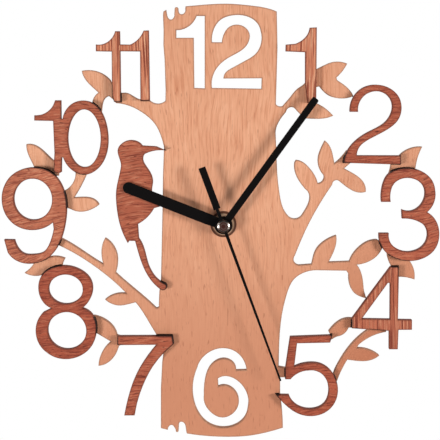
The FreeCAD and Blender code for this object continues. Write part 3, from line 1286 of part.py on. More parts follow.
wooden_pieces()
movement_case()
back_cover()
bearing_plate()
circuit_board()
stator()
coil()
battery()
cover_screws()
gear_train()
fasteners()
hour_hand()
minute_hand()
second_hand()
doc.recompute()
check_document()
export_pieces()
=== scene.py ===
import json
import math

import bmesh
import bpy
from mathutils import Matrix, Vector, geometry
from mathutils.bvhtree import BVHTree
from mathutils.kdtree import KDTree


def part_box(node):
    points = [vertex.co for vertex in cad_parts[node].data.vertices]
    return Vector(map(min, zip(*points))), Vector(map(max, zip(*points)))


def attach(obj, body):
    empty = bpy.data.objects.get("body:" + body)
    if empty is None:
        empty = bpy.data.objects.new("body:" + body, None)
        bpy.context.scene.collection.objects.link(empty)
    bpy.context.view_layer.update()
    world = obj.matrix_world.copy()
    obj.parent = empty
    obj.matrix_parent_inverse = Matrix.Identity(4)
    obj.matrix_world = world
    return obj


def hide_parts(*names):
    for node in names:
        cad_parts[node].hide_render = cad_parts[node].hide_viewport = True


bl_info = {
    "name": "Tree Wall Clock",
    "version": (1, 0, 0),
    "blender": (4, 5, 0),
    "location": "3D View > Sidebar > Clock",
    "description": "Builds a plywood tree wall clock with a woodpecker round its CAD frame",
    "category": "Object",
}

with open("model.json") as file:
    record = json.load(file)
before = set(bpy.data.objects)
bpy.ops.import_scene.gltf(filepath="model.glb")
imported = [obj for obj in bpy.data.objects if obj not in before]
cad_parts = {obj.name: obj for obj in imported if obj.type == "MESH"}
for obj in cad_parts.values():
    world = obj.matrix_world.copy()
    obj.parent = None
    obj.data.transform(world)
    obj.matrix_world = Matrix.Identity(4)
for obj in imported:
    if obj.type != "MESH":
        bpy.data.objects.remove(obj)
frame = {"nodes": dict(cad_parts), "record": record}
NODES = frame["nodes"]
BODY_OF = {node: body for body, nodes in frame["record"]["behaviour"]["bodies"].items() for node in nodes}
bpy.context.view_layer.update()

MM = 0.001
LONGEST_STEP = 1.2 * MM  # of a board's outline, so that its browned rim stays narrow
VIEW_TARGET = (-2.3287 * MM, -20.8 * MM, 2.8277 * MM)
SENSOR_WIDTH = 36
FLOOR_RADIUS = 0.7
TOUCHING = 1e-6  # corners nearer than this are one corner
IN_PLANE = 1e-5  # faces nearer than this to a plane lie in it
SHADOW_BEAD_SUNK = 0.05 * MM  # how far the dark bead, a glue line and painted contact shadow, reaches into the board behind
FLAT_ANGLE = math.radians(0.5)  # flatter edges than this are taken out before the bevel
BEVEL_ANGLE = math.radians(38)  # sharper edges than this are rounded
PALE_BOARDS = ["tree_plate", "leaf_ten_nine", "twig_ten_nine", "leaf_nine_eight", "leaves_eight_seven",
               "leaf_two_three", "leaf_three_four", "leaf_four_five", "twig_four_five"]
# How dark each board is stained, from 0 to 1, and how far its level grain leans, in radians.
BOARD_STAINS = {"numeral_one": 0.0, "numeral_two": 0.86, "numeral_three": 0.81, "numeral_four": 0.57,
                "numeral_five": 0.93, "numeral_seven": 0.81, "numeral_eight": 0.95, "numeral_nine": 0.52,
                "numeral_ten": 0.74, "numeral_eleven": 0.0, "woodpecker": 0.71}
GRAIN_LEAN = {"numeral_nine": 0.24, "numeral_eight": 0.07, "numeral_three": 0.17, "numeral_two": 0.13,
              "numeral_five": 0.1, "numeral_seven": 0.04, "numeral_ten": 0.05, "woodpecker": 0.06}
UPRIGHT_BOARDS = ["numeral_one", "numeral_four", "numeral_eleven"]
LEVEL_BOARDS = [node for node in BOARD_STAINS if node not in UPRIGHT_BOARDS]
UNSHADED_JOINTS = ["numeral_one"]  # no sooty glue or painted contact shadow shows beside these


def linear(red, green, blue):
    """A screen colour from 0 to 255 as the linear colour that a shader takes."""
    shares = [value / 255 for value in (red, green, blue)]
    return tuple(s / 12.92 if s <= 0.04045 else ((s + 0.055) / 1.055) ** 2.4 for s in shares)


def length(name, description, millimetres):
    return bpy.props.FloatProperty(name=name, description=description, default=millimetres * MM,
                                   min=0, subtype="DISTANCE", unit="LENGTH")


def point(name, description, default):
    """A place in the clock's frame, given in millimetres."""
    return bpy.props.FloatVectorProperty(name=name, description=description, size=3,
                                         default=[number * MM for number in default],
                                         subtype="TRANSLATION", unit="LENGTH")


def share(name, description, value):
    return bpy.props.FloatProperty(name=name, description=description, default=value, min=0, max=1,
                                   subtype="FACTOR")


def colour(name, description, *screen):
    return bpy.props.FloatVectorProperty(name=name, description=description, default=linear(*screen),
                                         size=3, min=0, max=1, subtype="COLOR")


# Settings that a user would change.

class ClockWoodSettings(bpy.types.PropertyGroup):
    pale: colour("Pale veneer", "Face of the tree and its twigs", 240, 177, 140)
    pale_light: colour("Pale fibre", "Lighter fibres of the pale veneer", 250, 196, 160)
    pale_streak: colour("Pale streak", "Darker figure of the pale veneer", 204, 128, 90)
    pale_pore: colour("Pale pore", "Open pores of the pale veneer", 166, 94, 60)
    pale_wall: colour("Pale cut wall", "Cut walls of the pale boards, browned by the laser", 170, 118, 90)
    pale_core: colour("Pale core", "Middle ply of the pale boards", 200, 154, 124)
    dark: colour("Dark veneer", "Face of the lightest numeral", 223, 141, 105)
    dark_light: colour("Dark fibre", "Lighter fibres of the dark veneer", 252, 190, 150)
    dark_streak: colour("Dark streak", "Darker figure of the dark veneer", 140, 66, 46)
    dark_pore: colour("Dark pore", "Open pores of the dark veneer", 96, 40, 28)
    dark_wall: colour("Dark cut wall", "Cut walls of the dark boards, charred by the laser", 122, 58, 40)
    dark_core: colour("Dark core", "Middle ply of the dark boards", 140, 84, 60)
    # Colour of the painted shade on the tree and its twigs, darkest at the foot.
    pale_shade_tint: colour("Pale stain", "Multiplies the pale wood where it is darkest", 200, 169, 157)
    dark_stain: colour("Dark stain", "Multiplies the dark wood where it is darkest", 198, 150, 140)
    # Near black for glued cut walls: partly laser soot, partly painted contact shadow in the joint.
    soot: colour("Soot And Contact Shadow", "Cut walls where one board is glued on another", 30, 13, 10)
    chamfer: length("Softened edge", "Where the sanded face meets the cut wall", 0.18)
    scorch: length("Scorch", "Browned rim of each face", 1.2)
    rim_burn: share("Rim burn", "How far the rim of each face is browned", 0.85)
    # A dark bead round each glued board: a glue line and painted contact shadow.
    glue_and_shadow_bead: length("Glue and shadow bead", "Sooty glue pressed out where one board is glued on another", 0.5)


class ClockHandSettings(bpy.types.PropertyGroup):
    paint: colour("Hand paint", "Black satin paint", 14, 12, 12)
    edge: length("Rounded edge", "Edges of the punched hands and the washer", 0.12)
    boss: colour("Boss metal", "Polished boss", 176, 164, 156)
    # Painted dark reflection in the middle of the boss.
    crown: colour("Boss crown", "Browned crown of the boss", 66, 36, 30)
    brass: colour("Washer brass", "Brass washer", 206, 166, 134)
    tarnish: colour("Washer rim", "Darkened rim of the brass washer", 88, 44, 17)


class ClockMovementSettings(bpy.types.PropertyGroup):
    case: colour("Black plastic", "Black moulded case", 34, 34, 36)
    natural: colour("Wheel plastic", "Natural wheels and plates", 232, 230, 222)
    board: colour("Circuit board", "Green circuit board", 38, 92, 58)
    copper: colour("Copper", "Enamelled winding wire", 176, 92, 48)
    steel: colour("Steel", "Plated steel", 190, 190, 192)
    jacket: colour("Cell jacket", "Plain jacket of the cell", 142, 146, 152)
    moulded_edge: length("Moulded edge", "Rounded edges of the case, its cover and the knob", 0.35)
    wire: length("Wire", "Diameter of the winding wire", 0.3)
    spring_wire: length("Spring wire", "Diameter of the cell's coil spring", 0.5)


class ClockStageSettings(bpy.types.PropertyGroup):
    view_distance: length("Camera distance", "From the camera to the middle of the tree", 730.1)
    view_height: bpy.props.FloatProperty(name="Camera height", description="Angle above the clock's level",
                                         default=math.radians(8), subtype="ANGLE", unit="ROTATION")
    focal_ratio: bpy.props.FloatProperty(name="Focal ratio", description="Focal length over picture width",
                                         default=1066 / 440, min=0.1)
    daylight: share("Daylight", "Even light from all round", 0.18)
    lamp_power: bpy.props.FloatProperty(name="Lamp power", description="Power of each lamp", default=11.6,
                                        min=0, subtype="POWER", unit="POWER")
    left_lamp: point("Left lamp", "Place of the left lamp, from the hand axis", (-1025, -926, -230))
    right_lamp: point("Right lamp", "Place of the right lamp, from the hand axis", (1065, -716, 57))
    back_lamp: point("Back lamp", "Place of the lamp behind the clock", (0, 1200, 900))
    lamp_width: length("Lamp width", "Across each round lamp", 380)
    floor_drop: length("Floor", "From the hand axis down to the floor", 420)


# Small helpers for shader and geometry node trees.

class Tree:
    """Adds nodes to a tree, left to right, and links them."""

    def __init__(self, tree):
        self.tree = tree
        self.tree.nodes.clear()

    def add(self, kind, values=None, settings=None):
        node = self.tree.nodes.new(kind)
        node.location = (len(self.tree.nodes) * 180, 0)
        for name, value in (settings or {}).items():
            setattr(node, name, value)
        for socket, value in (values or {}).items():
            self.feed(node.inputs[socket], value)
        return node

    def feed(self, socket, value):
        if isinstance(value, bpy.types.NodeSocket):
            self.tree.links.new(value, socket)
        else:
            socket.default_value = value

    def maths(self, operation, *values):
        node = self.add("ShaderNodeMath", settings={"operation": operation})
        for index, value in enumerate(values):
            self.feed(node.inputs[index], value)
        return node.outputs[0]

    def blend(self, amount, first, second, kind="MIX"):
        """Two colours mixed. A mix node keeps its colour sockets at 6 and 7, and their result at 2."""
        node = self.add("ShaderNodeMix", settings={"data_type": "RGBA", "blend_type": kind})
        for index, value in ((0, amount), (6, first), (7, second)):
            self.feed(node.inputs[index], value)
        return node.outputs[2]

    def band(self, value, low, high):
        """0 below low, 1 above high and smooth between."""
        node = self.add("ShaderNodeMapRange", {"Value": value, "From Min": low, "From Max": high},
                        {"interpolation_type": "SMOOTHSTEP"})
        return node.outputs[0]

    def soft_step(self, value, middle, softness):
        """0 below middle and 1 above it, smooth over the softness on either side."""
        return self.band(value, self.maths("SUBTRACT", middle, softness),
                         self.maths("ADD", middle, softness))

    def noise(self, place, detail=2.0, rough=0.5):
        node = self.add("ShaderNodeTexNoise", {"Vector": place, "Scale": 1.0, "Detail": detail,
                                               "Roughness": rough})
        return node.outputs[0]

    def stretched(self, place, scale, shift=(0, 0, 0)):
        node = self.add("ShaderNodeMapping", {"Vector": place, "Scale": scale, "Location": shift})
        return node.outputs[0]

    def attribute(self, name):
        return self.add("ShaderNodeAttribute", settings={"attribute_name": name}).outputs["Fac"]


def built_once(name, build):
    """The node group of this name, built when it is first asked for."""
    return bpy.data.node_groups.get(name) or build(name)


def shader_group(name, inputs, outputs):
    """An empty shader node group. An input without a default is a place, a tuple is a colour."""
    group = bpy.data.node_groups.new(name, "ShaderNodeTree")
    kinds = {type(None): "Vector", tuple: "Color", float: "Float"}
    for socket, default in inputs.items():
        kind = "NodeSocket" + kinds[type(default)]
        item = group.interface.new_socket(socket, in_out="INPUT", socket_type=kind)
        if default is not None:
            item.default_value = default
    for socket, kind in outputs.items():
        group.interface.new_socket(socket, in_out="OUTPUT", socket_type="NodeSocket" + kind)
    tree = Tree(group)
    return group, tree, tree.add("NodeGroupInput").outputs, tree.add("NodeGroupOutput").inputs


def veneer_group(name):
    """Wood figure that runs along Z: slow drift, growth streaks, pale fibres and open pores."""
    group, tree, given, result = shader_group(
        name,
        {"Place": None, "Face": (1, 1, 1, 1), "Light": (1, 1, 1, 1), "Streak": (0.5, 0.5, 0.5, 1),
         "Pore": (0.1, 0.1, 0.1, 1), "Softness": 0.1, "Light Amount": 0.5, "Streak Amount": 0.5,
         "Pore Amount": 0.5},
        {"Color": "Color", "Height": "Float"})
    # Each scale is in features a metre, finer across the grain than along it.
    drift = tree.noise(tree.stretched(given["Place"], (20, 20, 15)), 1.0)
    bend = tree.add("ShaderNodeCombineXYZ", {"X": tree.maths("MULTIPLY", drift, 0.016)}).outputs[0]
    waved = tree.add("ShaderNodeVectorMath", settings={"operation": "ADD"})
    tree.feed(waved.inputs[0], given["Place"])
    tree.feed(waved.inputs[1], bend)
    place = waved.outputs[0]
    growth = tree.noise(tree.stretched(place, (960, 960, 46)), 2.0, 0.65)
    pale = tree.noise(tree.stretched(place, (760, 760, 85), (9, 4, 2)), 2.0, 0.6)
    fibre = tree.noise(tree.stretched(place, (2100, 2100, 90)), 2.0, 0.6)
    pores = tree.noise(tree.stretched(place, (1050, 1050, 150), (3, 1, 7)), 1.0)
    cloud = tree.band(tree.noise(tree.stretched(place, (70, 70, 20), (5, 2, 1)), 2.0), 0.34, 0.68)
    dark_band = tree.soft_step(growth, 0.56, given["Softness"])
    streak = tree.maths("MULTIPLY_ADD", cloud, 0.22, tree.maths(
        "MULTIPLY_ADD", dark_band, 0.7, tree.maths("MULTIPLY", fibre, 0.25)))
    light = tree.soft_step(pale, 0.58, given["Softness"])
    pore = tree.band(pores, 0.63, 0.74)
    lit = tree.blend(tree.maths("MULTIPLY", light, given["Light Amount"]), given["Face"], given["Light"])
    streaked = tree.blend(tree.maths("MULTIPLY", streak, given["Streak Amount"]), lit, given["Streak"])
    tree.feed(result["Color"], tree.blend(tree.maths("MULTIPLY", pore, given["Pore Amount"]), streaked,
                                          given["Pore"]))
    tree.feed(result["Height"], tree.maths("MULTIPLY_ADD", pore, -0.6, tree.maths("MULTIPLY", fibre, 0.5)))
    return group


def char_group(name):
    """Burnt cut walls: plies through the thickness, soot streaks across it, and a browned face rim. Where a
    wall sits on another board it is painted near black, part soot and part painted contact shadow.
    """
    group, tree, given, result = shader_group(
        name,
        {"Place": None, "Face": (1, 1, 1, 1), "Char": (0.05, 0.03, 0.02, 1),
         "Core": (0.2, 0.1, 0.05, 1), "Soot And Contact Shadow": (0.01, 0.01, 0.01, 1), "Burn": 0.0, "Glued": 0.0},
        {"Color": "Color", "Charred": "Float"})
    soot = tree.noise(tree.stretched(given["Place"], (900, 120, 900)), 2.0)
    plies = tree.noise(tree.stretched(given["Place"], (30, 900, 30), (0, 3, 0)), 0.0)
    thin = tree.maths("MULTIPLY", tree.band(soot, 0.42, 0.7), tree.band(plies, 0.45, 0.6))
    bare = tree.blend(tree.maths("MULTIPLY", thin, 0.75), given["Char"], given["Core"])
    # Glued walls: laser soot and painted contact shadow in the joint.
    wall = tree.blend(given["Glued"], bare, given["Soot And Contact Shadow"])
    rough_burn = tree.maths("MULTIPLY_ADD", tree.maths("SUBTRACT", soot, 0.5), 0.35, given["Burn"])
    burn = tree.band(rough_burn, 0.05, 1.0)
    tree.feed(result["Color"], tree.blend(burn, given["Face"], wall))
    tree.feed(result["Charred"], burn)
    return group


def speckle_group(name):
    """Fine even grain of moulded plastic or paint, as a height and a colour shade."""
    group, tree, given, result = shader_group(
        name, {"Place": None, "Face": (1, 1, 1, 1), "Grain": 4000.0, "Shade": 0.2},
        {"Color": "Color", "Height": "Float"})
    scaled = tree.add("ShaderNodeVectorMath", settings={"operation": "SCALE"})
    tree.feed(scaled.inputs[0], given["Place"])
    tree.feed(scaled.inputs["Scale"], given["Grain"])
    grain = tree.noise(scaled.outputs[0], 2.0)
    cloud = tree.noise(tree.stretched(given["Place"], (90, 90, 90)), 3.0)
    shade = tree.maths("MULTIPLY", tree.maths("MULTIPLY_ADD", cloud, 0.7, grain), given["Shade"])
    dark = tree.blend(0.6, given["Face"], (0, 0, 0, 1))
    tree.feed(result["Color"], tree.blend(shade, given["Face"], dark))
    tree.feed(result["Height"], grain)
    return group


def new_material(name):
    """A named material with a Principled surface, and a Tree to build it in."""
    material = bpy.data.materials.new(name)
    material.use_nodes = True
    tree = Tree(material.node_tree)
    surface = tree.add("ShaderNodeBsdfPrincipled")
    out = tree.add("ShaderNodeOutputMaterial")
    tree.feed(out.inputs["Surface"], surface.outputs[0])
    place = tree.add("ShaderNodeTexCoord").outputs["Object"]
    return material, tree, surface, place


def group_node(tree, group, values):
    node = tree.tree.nodes.new("ShaderNodeGroup")
    node.node_tree = group
    for socket, value in values.items():
        tree.feed(node.inputs[socket], value)
    return node.outputs


def bumped(tree, surface, height, distance, strength=0.5):
    bump = tree.add("ShaderNodeBump", {"Height": height, "Distance": distance, "Strength": strength})
    tree.feed(surface.inputs["Normal"], bump.outputs[0])


def veneer_material(name, colours, amounts, level, softness, stretch, calm=0.0):
    """Veneered plywood, its figure upright or level, browned where the burn attribute says so.

    The amounts are those of fibres, streaks and pores. Calm fades the first two where the wood is darkened:
    by real stain on the numerals and the bird, by painted shade on the tree and its twigs.
    """
    material, tree, surface, place = new_material(name)
    face, light, streak, pore, wall, core, soot, stain = [(*tone, 1) for tone in colours]
    leant = tree.add("ShaderNodeVectorRotate", {"Vector": place, "Axis": (0, 1, 0),
                                                "Angle": tree.attribute("lean")}).outputs[0]
    turn = (0, math.pi / 2 if level else 0, 0)
    along = tree.add("ShaderNodeMapping", {"Vector": leant, "Rotation": turn, "Scale": stretch}).outputs[0]
    # This attribute is real stain on the numerals and the bird, and painted shade, where light falls off, on
    # the tree and its twigs.
    amount = tree.attribute("stain")
    quiet = tree.maths("MULTIPLY_ADD", amount, -calm, 1.0)
    figure = group_node(tree, built_once("Veneer figure", veneer_group), {
        "Place": along, "Face": face, "Light": light, "Streak": streak, "Pore": pore,
        "Softness": softness, "Light Amount": tree.maths("MULTIPLY", quiet, amounts[0]),
        "Streak Amount": tree.maths("MULTIPLY", quiet, amounts[1]), "Pore Amount": amounts[2]})
    tinted = tree.blend(amount, figure["Color"], stain, "MULTIPLY")
    char = group_node(tree, built_once("Laser char", char_group), {
        "Place": place, "Face": tinted, "Char": wall, "Core": core, "Soot And Contact Shadow": soot,
        "Burn": tree.attribute("burn"), "Glued": tree.attribute("glued")})
    tree.feed(surface.inputs["Base Color"], char["Color"])
    tree.feed(surface.inputs["Roughness"], tree.maths("MULTIPLY_ADD", char["Charred"], 0.2, 0.62))
    surface.inputs["Specular IOR Level"].default_value = 0.3
    bumped(tree, surface, figure["Height"], 0.00008)
    return material


def grained_material(name, face, roughness, grain=4000.0, shade=0.2, depth=0.00002, gloss=0.5,
                     metallic=0.0):
    """Moulded plastic, paint or rubber with a fine grain."""
    material, tree, surface, place = new_material(name)
    made = group_node(tree, built_once("Moulded grain", speckle_group), {
        "Place": place, "Face": (*face, 1), "Grain": grain, "Shade": shade})
    tree.feed(surface.inputs["Base Color"], made["Color"])
    tree.feed(surface.inputs["Roughness"], tree.maths("MULTIPLY_ADD", made["Height"], 0.12,
                                                      roughness - 0.06))
    surface.inputs["Specular IOR Level"].default_value = gloss
    surface.inputs["Metallic"].default_value = metallic
    bumped(tree, surface, made["Height"], depth, 0.3)
    return material


def metal_material(name, face, roughness, shade=0.15):
    """Bare metal with a very fine grain."""
    return grained_material(name, face, roughness, grain=2500.0, shade=shade, depth=0.000005,
                            metallic=1.0)


def axis_distance(tree, place):
    """Distance of the shaded point from the hand axis."""
    apart = tree.add("ShaderNodeSeparateXYZ", {"Vector": place}).outputs
    return tree.maths("SQRT", tree.maths("MULTIPLY_ADD", apart["X"], apart["X"],
                                         tree.maths("MULTIPLY", apart["Z"], apart["Z"])))


# Boards: each is rebuilt from the outline of its CAD solid, with softened edges and a burnt rim.

def front_loops(node):
    """Outlines of a board's front face as closed runs of (x, z) points, and its front and back."""
    low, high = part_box(node)
    source = bmesh.new()
    source.from_mesh(NODES[node].data)
    bmesh.ops.remove_doubles(source, verts=source.verts, dist=TOUCHING)
    following = {}
    for face in source.faces:
        if face.normal.y < -0.9 and abs(face.calc_center_median().y - low.y) < IN_PLANE:
            for loop in face.loops:
                neighbours = [other for other in loop.edge.link_faces if other is not face]
                if all(other.normal.y > -0.9 for other in neighbours):
                    following[loop.vert.index] = loop.link_loop_next.vert.index
    places = [(vertex.co.x, vertex.co.z) for vertex in source.verts]
    source.free()
    loops = []
    while following:
        start, here = following.popitem()
        run = [start]
        while here != start:
            run.append(here)
            here = following.pop(here)
        loops.append(divided([places[index] for index in run], LONGEST_STEP))
    return loops, low.y, high.y


def divided(loop, longest):
    """The run with its long straight steps split, so that a rim's browning stays near the rim."""
    finer = []
    for index, here in enumerate(loop):
        start = Vector(here)
        step = Vector(loop[(index + 1) % len(loop)]) - start
        count = max(1, math.ceil(step.length / longest))
        finer += [tuple(start + step * (number / count)) for number in range(count)]
    return finer


def inset(loop, distance):
    """The run moved into the wood, which lies to the left of each step seen from the front."""
    moved = []
    count = len(loop)
    for index, here in enumerate(loop):
        before = Vector(loop[index - 1])
        after = Vector(loop[(index + 1) % count])
        middle = Vector(here)
        first = (middle - before).normalized()
        second = (after - middle).normalized()
        side = Vector((-first.y, first.x)) + Vector((-second.y, second.x))
        if side.length < TOUCHING:
            side = Vector((-first.y, first.x))
        side.normalize()
        reach = distance / max(0.5, side.dot(Vector((-first.y, first.x))))
        moved.append(middle + side * reach)
    return moved


def inside(point, loops):
    """Even-odd test against all the runs at once."""
    x, z = point
    within = False
    for loop in loops:
        for index, (x1, z1) in enumerate(loop):
            x0, z0 = loop[index - 1]
            if (z0 > z) != (z1 > z) and x < x0 + (z - z0) / (z1 - z0) * (x1 - x0):
                within = not within
    return within


def spaced(loop, gap):
    """Points of a run that stand at least a gap apart."""
    kept = [loop[0]]
    for point in loop[1:]:
        if (Vector(point) - Vector(kept[-1])).length >= gap:
            kept.append(point)
    return kept


def plain_mesh(name, shape, *materials):
    """The shape as a mesh with these materials. It frees the shape."""
    mesh = bpy.data.meshes.new(name)
    shape.to_mesh(mesh)
    shape.free()
    for material in materials:
        mesh.materials.append(material)
    return mesh


def distinct(corners):
    """The corners in their order, each once."""
    return [corner for number, corner in enumerate(corners) if corner not in corners[:number]]


def smooth_share(value, low, high):
    """0 below low, 1 above high and smooth between."""
    t = min(1, max(0, (value - low) / (high - low)))
    return t * t * (3 - 2 * t)


def tree_painted_shade(x, z):
    """How dark the tree's veneer is painted with shade, for light that falls off: most at its foot, then on
    its right twigs, then at its crown.
    """
    return (0.04 + 0.08 * smooth_share(z, 80 * MM, 130 * MM)
            + 0.68 * smooth_share(-z, -60 * MM, 130 * MM)
            + 0.36 * smooth_share(x, 35 * MM, 110 * MM))


def pale_tops():
    """The pale boards' CAD solids as one tree of faces, to tell where another board is glued on."""
    points, faces = [], []
    for node in PALE_BOARDS:
        mesh = NODES[node].data
        faces += [[index + len(points) for index in face.vertices] for face in mesh.polygons]
        points += [vertex.co.copy() for vertex in mesh.vertices]
    return BVHTree.FromPolygons(points, faces)


def unburnt_points(loops, reach):
    """Points inside a board at the end of its browned rim's reach."""
    outline = [(x, z, 0) for loop in loops for x, z in loop]
    tree = KDTree(len(outline))
    for number, place in enumerate(outline):
        tree.insert(place, number)
    tree.balance()
    return [Vector(point) for loop in loops for point in spaced(inset(loop, reach), reach / 2)
            if tree.find((*point, 0))[2] > reach * 0.9 and inside(point, loops)]


def flat_face(rims, inner):
    """A board's face in triangles: its points, its faces, and the points that each came from."""
    points = [Vector(point) for rim in rims for point in rim] + inner
    edges = []
    start = 0
    for rim in rims:
        edges += [(start + index, start + (index + 1) % len(rim)) for index in range(len(rim))]
        start += len(rim)
    flat, _, faces, origins, _, _ = geometry.delaunay_2d_cdt(points, edges, [], 0, 1e-8)
    return flat, faces, origins


class BoardShape:
    """The mesh of one board in the making, with what its veneer reads at each corner."""

    def __init__(self, node, front, back, carriers):
        self.node = node
        self.front = front
        self.back = back
        self.carriers = carriers
        self.shape = bmesh.new()
        layers = self.shape.verts.layers.float
        self.burn = layers.new("burn")
        self.glued = layers.new("glued")
        self.stain = layers.new("stain")
        self.lean = layers.new("lean")

    def carried(self, x, z):
        """Whether a pale board stands right behind this place."""
        if not self.carriers:
            return False
        behind = Vector((x, self.back - MM, z))
        return self.carriers.ray_cast(behind, Vector((0, 1, 0)), 2 * MM)[0] is not None

    def corner(self, x, y, z, burnt):
        vertex = self.shape.verts.new((x, y, z))
        vertex[self.burn] = burnt
        # Numerals and the bird keep their own stain; the pale boards take painted shade.
        vertex[self.stain] = BOARD_STAINS[self.node] if self.node in BOARD_STAINS else tree_painted_shade(x, z)
        vertex[self.lean] = GRAIN_LEAN.get(self.node, 0.0)
        vertex[self.glued] = 1.0 if self.carried(x, z) else 0.0
        return vertex

    def sides(self, flat, faces, burns, loops):
        """The front and the back in the same triangles, and the corners of both."""
        fronts, backs = [], []
        for place, burnt in zip(flat, burns):
            fronts.append(self.corner(place.x, self.front, place.y, burnt))
            backs.append(self.corner(place.x, self.back, place.y, burnt))
        for face in faces:
            middle = sum((flat[index] for index in face), Vector((0, 0))) / len(face)
            if inside(middle, loops):
                self.shape.faces.new([fronts[index] for index in face])
                self.shape.faces.new([backs[index] for index in reversed(face)])
        return fronts, backs

    def wall(self, loop, chamfer, rim_front, rim_back):
        """The cut wall along one run of the outline, with a softened edge at each face."""
        outer_front = [self.corner(x, self.front + chamfer, z, 1.0) for x, z in loop]
        outer_back = [self.corner(x, self.back - chamfer, z, 1.0) for x, z in loop]
        rows = [rim_back, outer_back, outer_front, rim_front]
        for index in range(len(loop)):
            after = (index + 1) % len(loop)
            for lower, upper in zip(rows, rows[1:]):
                corners = distinct([lower[index], lower[after], upper[after], upper[index]])
                if len(corners) > 2:
                    self.shape.faces.new(corners)

    def glue_and_shadow_bead(self, loop, size):
        """A sooty bead in the corner between the cut wall and the board that carries this one: a glue line
        that is also painted contact shadow.
        """
        outer = inset(loop, -size)
        sunk = self.back + SHADOW_BEAD_SUNK
        glued = [self.carried(x, z) for x, z in outer]
        rings = []
        for index, ((x, z), (far_x, far_z)) in enumerate(zip(loop, outer)):
            ring = None
            if glued[index] and (glued[index - 1] or glued[(index + 1) % len(loop)]):
                ring = [self.corner(far_x, sunk, far_z, 1.0), self.corner(x, sunk, z, 1.0),
                        self.corner(x, self.back - size, z, 1.0)]
                for vertex in ring:
                    vertex[self.glued] = 1.0
            rings.append(ring)
        for index, ring in enumerate(rings):
            after = rings[(index + 1) % len(rings)]
            if ring and after:
                for corner in range(3):
                    turn = (corner + 1) % 3
                    self.shape.faces.new([ring[corner], ring[turn], after[turn], after[corner]])
            if ring and bool(after) != bool(rings[index - 1]):
                self.shape.faces.new(ring)


def board(node, material, slot, carriers=None):
    """One plywood board with softened edges, in place of its CAD node."""
    wood = bpy.context.scene.clock_wood
    loops, front, back = front_loops(node)
    rims = [inset(loop, wood.chamfer) for loop in loops]
    rim_count = sum(len(rim) for rim in rims)
    flat, faces, origins = flat_face(rims, unburnt_points(loops, wood.scorch))
    burns = [0.0 if source and min(source) >= rim_count else wood.rim_burn for source in origins]
    made = BoardShape(node, front, back, carriers)
    fronts, backs = made.sides(flat, faces, burns, loops)
    place_of = {original: index for index, source in enumerate(origins) for original in source}
    start = 0
    for loop in loops:
        rim = [place_of[start + index] for index in range(len(loop))]
        made.wall(loop, wood.chamfer, [fronts[place] for place in rim], [backs[place] for place in rim])
        start += len(loop)
        if carriers:
            made.glue_and_shadow_bead(loop, wood.glue_and_shadow_bead)
    bmesh.ops.recalc_face_normals(made.shape, faces=made.shape.faces)
    placed(node + "_board", plain_mesh(node + "_board", made.shape, material), node)


def finish_node(node, material):
    """Give a CAD node its material."""
    data = NODES[node].data
    data.materials.clear()
    data.materials.append(material)


def placed(name, mesh, node):
    """A finished piece that stands for a CAD node and rides its body."""
    piece = bpy.data.objects.new(name, mesh)
    bpy.context.collection.objects.link(piece)
    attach(piece, BODY_OF[node])
    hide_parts(node)
    return piece


def softened(node, material, width, segments=2, smooth=False):
    """A CAD node's shape with rounded edges, in its place."""
    shape = bmesh.new()
    shape.from_mesh(NODES[node].data)
    bmesh.ops.remove_doubles(shape, verts=shape.verts, dist=2 * TOUCHING)
    bmesh.ops.dissolve_limit(shape, angle_limit=FLAT_ANGLE, verts=shape.verts, edges=shape.edges)
    for face in shape.faces:
        face.smooth = smooth
    piece = placed(node + "_finish", plain_mesh(node + "_finish", shape, material), node)
    bevel = piece.modifiers.new("edges", "BEVEL")
    bevel.width = width
    bevel.segments = segments
    bevel.limit_method = "ANGLE"
    bevel.angle_limit = BEVEL_ANGLE
    bevel.harden_normals = smooth


def turned_mesh(name, rings, centre, materials, segments=72):
    """A closed turned mesh along X: rings are (x, radius, material number of the wall that follows)."""
    shape = bmesh.new()
    made = []
    for x, radius, _ in rings:
        if radius == 0:
            made.append([shape.verts.new((x, centre[0], centre[1]))])
            continue
        made.append([shape.verts.new((x, centre[0] + radius * math.cos(math.tau * step / segments),
                                      centre[1] + radius * math.sin(math.tau * step / segments)))
                     for step in range(segments)])
    for (first, second), ring in zip(zip(made, made[1:]), rings):
        for step in range(segments):
            after = (step + 1) % segments
            face = shape.faces.new(distinct([first[step % len(first)], first[after % len(first)],
                                             second[after % len(second)], second[step % len(second)]]))
            face.material_index = ring[2]
            face.smooth = True
    bmesh.ops.recalc_face_normals(shape, faces=shape.faces)
    mesh = plain_mesh(name, shape, *materials)
    mesh.set_sharp_from_angle(angle=math.radians(35))
    return mesh


